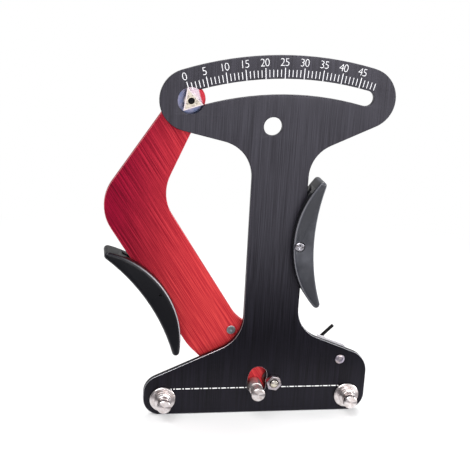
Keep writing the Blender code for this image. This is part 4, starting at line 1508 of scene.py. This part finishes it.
@dataclass
class TorsionSpring:
    """The coil round the bush, one leg on the lever's stud and the other on the anchor."""

    wire: float = 1.9
    coil_radius: float = 5.8
    lever_leg_angle: float = 116.83
    lever_leg_length: float = 40.71
    fixed_leg_angle: float = 45.0
    fixed_leg_length: float = 44.1
    full_circles: int = 3
    coil_steps: int = 150
    leg_steps: int = 14
    sides: int = 20
    end_chamfer: float = 0.25

    def path(self) -> Array:
        """Return the wire's middle line.

        The coil is a circle about the pivot whose depth grows with the angle, and both legs leave it
        along its tangent. It winds from a quarter turn past the lever's leg to a quarter turn before
        the fixed one, three circles on, which is 2.3 turns.

        Returns:
            Points by three, in millimetres.
        """
        stand, pivot = Stand.of("torsion_spring"), pivot_mm()
        near, far = stand.front + self.wire / 2, stand.back - self.wire / 2
        start = math.radians(self.lever_leg_angle + 90)
        end = math.radians(self.fixed_leg_angle - 90) + math.tau * self.full_circles
        angle = np.linspace(start, end, self.coil_steps)
        depth = near + (far - near) * (angle - start) / (end - start)
        across, up = self.coil_radius * np.cos(angle), self.coil_radius * np.sin(angle)
        coil = np.stack([pivot[0] + across, depth, pivot[1] + up], axis=1)
        share = np.linspace(1, 0, self.leg_steps, endpoint=False)[:, None]
        lever_run = np.array([heading(self.lever_leg_angle)])
        fixed_run = np.array([heading(self.fixed_leg_angle)])
        lever_leg = coil[:1] + share * self.lever_leg_length * lever_run
        fixed_leg = coil[-1:] + share[::-1] * self.fixed_leg_length * fixed_run
        return np.vstack([lever_leg, coil, fixed_leg])

    def build(self) -> None:
        """Make the wire, hide the imported spring and leave the wire on neither body."""
        route = self.path()
        piece = tube("coiled_torsion_spring", route, self.wire / 2, self.end_chamfer, self.sides)
        piece.data.materials.append(BLACK_OXIDE.material())
        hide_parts("torsion_spring")
        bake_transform(piece)
        log.info("%s: %d faces, wound between both bodies", piece.name, len(piece.data.polygons))


@dataclass
class LeverArm:
    """The red lever and what it carries at its far end."""

    sharp_angle: float = 30.0
    disc_bore: float = 1.7
    pointer_tip: float = 6.9
    pointer_tail: float = 6.3
    pointer_tail_angle: float = 124.0

    def build(self) -> None:
        """Make the lever, the pointer, its spacer and the blued disc."""
        red = RED_LEVER.material()
        smooth_copy("lever_arm", "red_lever_plate", red, self.sharp_angle)
        place = Stand.of("pointer_spacer").middle
        paint = PointerPaint().material(self.pointer_corners(place))
        smooth_copy("pointer", "cream_pointer", paint, self.sharp_angle)
        for node, slot, material in (
            ("pointer_disc", Slot.BLUED_STEEL, TemperedSteel().material(metres(place))),
            ("pointer_spacer", Slot.POLISHED_STEEL, SPACER_STEEL.material("pointer_spacer")),
        ):
            turned_piece(node, eased_ring(Stand.of(node), self.disc_bore), material, ring=True)

    def pointer_corners(self, place: Pair) -> Array:
        """Return the pointer's corners: its tip away from the pivot, and a tail to each side.

        Args:
            place: The (x, z) of its screw in millimetres.

        Returns:
            Three (x, z) points in millimetres.
        """
        outward = np.array(place) - pivot_mm()
        angle = math.atan2(outward[1], outward[0])
        turns = angle + np.radians([0.0, self.pointer_tail_angle, -self.pointer_tail_angle])
        reach = np.array([self.pointer_tip, self.pointer_tail, self.pointer_tail])
        return np.array(place) + reach[:, None] * np.stack([np.cos(turns), np.sin(turns)], axis=1)


@dataclass
class Grips:
    """The two crescent grips that the hand squeezes."""

    sharp_angle: float = 40.0

    def build(self) -> None:
        """Make both grips."""
        for node, finish in (("right_grip", RIGHT_GRIP_BLACK), ("left_grip", LEFT_GRIP_BLACK)):
            material = finish.material(*box_mm(node))
            smooth_copy(node, "crescent_" + node, material, self.sharp_angle)


@dataclass(frozen=True)
class Softbox:
    """A soft rectangular lamp: its place and size in metres and its power in watts."""

    name: str
    place: Point
    size: Pair
    power: float


@dataclass
class Studio:
    """The camera at the photograph's viewpoint, soft lamps and a pale floor."""

    camera_place: Point = (-95.5, -449.5, 238.3)
    yaw: float = 10.42
    pitch: float = 15.57
    roll: float = 3.36
    lens: float = 70.38
    sensor_width: float = 36.0
    shift: Pair = (-0.017, -0.036)
    nearest_seen: float = 0.01
    lamps: tuple[Softbox, ...] = (
        Softbox("key_softbox", (-0.42, -0.42, 1.0), (0.9, 0.9), 9.0),
        Softbox("top_softbox", (0.2, 0.45, 0.9), (0.8, 0.5), 7.0),
        Softbox("front_card", (0.5, -0.95, 0.45), (0.9, 0.7), 6.0),
        Softbox("side_strip", (0.95, -0.12, 0.3), (0.25, 0.5), 3.0),
    )
    lamp_target: Point = (0.0, 0.0, 0.09)
    fill_strength: float = 0.55
    floor_half_width: float = 9.0
    floor_drop: float = 0.0001
    floor_colour: Colour = (0.9, 0.9, 0.905)
    white_from: float = 0.18
    white_to: float = 0.42
    floor_glow: float = 0.3
    card_near: Pair = (0.045, 0.07)
    card_far: Pair = (0.33, 0.17)
    card_colour: Colour = (0.02, 0.02, 0.03)

    def build(self) -> None:
        """Set up everything that isn't the object."""
        bpy.context.scene.view_settings.view_transform = "Standard"
        self.camera()
        for softbox in self.lamps:
            self.lamp(softbox)
        self.world()
        self.floor()

    def camera(self) -> None:
        """Place the camera from its position, yaw, pitch and roll."""
        data = bpy.data.cameras.new("product_camera")
        data.sensor_width = self.sensor_width
        data.lens = self.lens
        data.shift_x, data.shift_y = self.shift
        data.clip_start = self.nearest_seen
        camera = bpy.data.objects.new("product_camera", data)
        turn = Matrix.Rotation(-math.radians(self.yaw), 4, "Z")
        tip = Matrix.Rotation(math.radians(90 - self.pitch), 4, "X")
        lean = Matrix.Rotation(math.radians(self.roll), 4, "Z")
        camera.matrix_world = Matrix.Translation(Vector(self.camera_place) * MM) @ turn @ tip @ lean
        bpy.context.scene.collection.objects.link(camera)
        bpy.context.scene.camera = camera

    def lamp(self, softbox: Softbox) -> None:
        """Add a lamp that faces the meter.

        Args:
            softbox: Its place, size and power.
        """
        data = bpy.data.lights.new(softbox.name, "AREA")
        data.shape = "RECTANGLE"
        data.size, data.size_y = softbox.size
        data.energy = softbox.power
        lamp = bpy.data.objects.new(softbox.name, data)
        lamp.location = softbox.place
        aim = Vector(self.lamp_target) - lamp.location
        lamp.rotation_euler = aim.to_track_quat("-Z", "Y").to_euler()
        bpy.context.scene.collection.objects.link(lamp)

    def world(self) -> None:
        """Make a world that is white to look at and lights the meter softly."""
        world = bpy.data.worlds.new("white_studio")
        world.use_nodes = True
        bpy.context.scene.world = world
        tree = NodeTree(world.node_tree)
        rays = tree.node("ShaderNodeLightPath", {}, {})
        through = Signal(tree, rays.outputs["Is Transmission Ray"])
        seen = Signal(tree, rays.outputs["Is Camera Ray"]).or_more(through)
        fill, white = tree.nodes["Background"], tree.nodes.new("ShaderNodeBackground")
        for light, strength in ((fill, self.fill_strength), (white, 1.0)):
            light.inputs["Color"].default_value = (1.0, 1.0, 1.0, 1.0)
            light.inputs["Strength"].default_value = strength
        inputs = {0: seen, 1: fill.outputs[0], 2: white.outputs[0]}
        tree.surface(tree.node("ShaderNodeMixShader", {}, inputs), "World Output")

    def floor(self) -> None:
        """Make the pale floor, white further out, and dark in front where only the meter's gloss sees it."""
        half = self.floor_half_width
        corners = np.array([(-half, -half), (half, -half), (half, half), (-half, half)])
        mesh = bpy.data.meshes.new("studio_floor")
        mesh.from_pydata(np.insert(corners, 2, -self.floor_drop, axis=1).tolist(), [], [(0, 1, 2, 3)])
        floor = bpy.data.objects.new("studio_floor", mesh)
        bpy.context.scene.collection.objects.link(floor)
        tree = ShaderTree("pale_floor")
        speck = tree.noise(tree.place, 500.0, 2.0)
        tree.principled(base_color=self.floor_colour, roughness=0.07 + (speck - 0.5) * 0.02, ior=1.33)
        distance = tree.node("ShaderNodeVectorMath", {"operation": "LENGTH"}, {0: tree.place})
        away = Signal(tree, distance.outputs["Value"]).between(self.white_from, self.white_to)
        away = away * (1.0 - self.floor_glow) + self.floor_glow
        rays = tree.node("ShaderNodeLightPath", {}, {})
        glossy = Signal(tree, rays.outputs["Is Glossy Ray"])
        seen = Signal(tree, rays.outputs["Is Camera Ray"]).or_more(glossy)
        white = tree.node("ShaderNodeEmission", {}, {"Strength": 1.0})
        inputs = {0: away * seen, 1: tree.shader.outputs[0], 2: white.outputs[0]}
        pale = tree.node("ShaderNodeMixShader", {}, inputs)
        front = tree.along(tree.place, (0.0, -1.0, 0.0))
        card = front.between(*self.card_near) * front.between(*self.card_far) * glossy
        black = tree.node("ShaderNodeEmission", {}, {"Color": (*self.card_colour, 1.0), "Strength": 1.0})
        inputs = {0: card, 1: pale.outputs[0], 2: black.outputs[0]}
        tree.surface(tree.node("ShaderNodeMixShader", {}, inputs), "Material Output")
        mesh.materials.append(tree.material)


def main() -> None:
    """Build the meter's looks piece by piece, then the studio."""
    logging.basicConfig(level=logging.INFO, format="%(name)s: %(message)s")
    for assembly in (
        FramePlate(), Scale(), SpokePosts(), Fasteners(), PivotStack(), TorsionSpring(), LeverArm(),
        Grips(), Studio(),
    ):
        assembly.build()


if __name__ == "__main__":
    main()
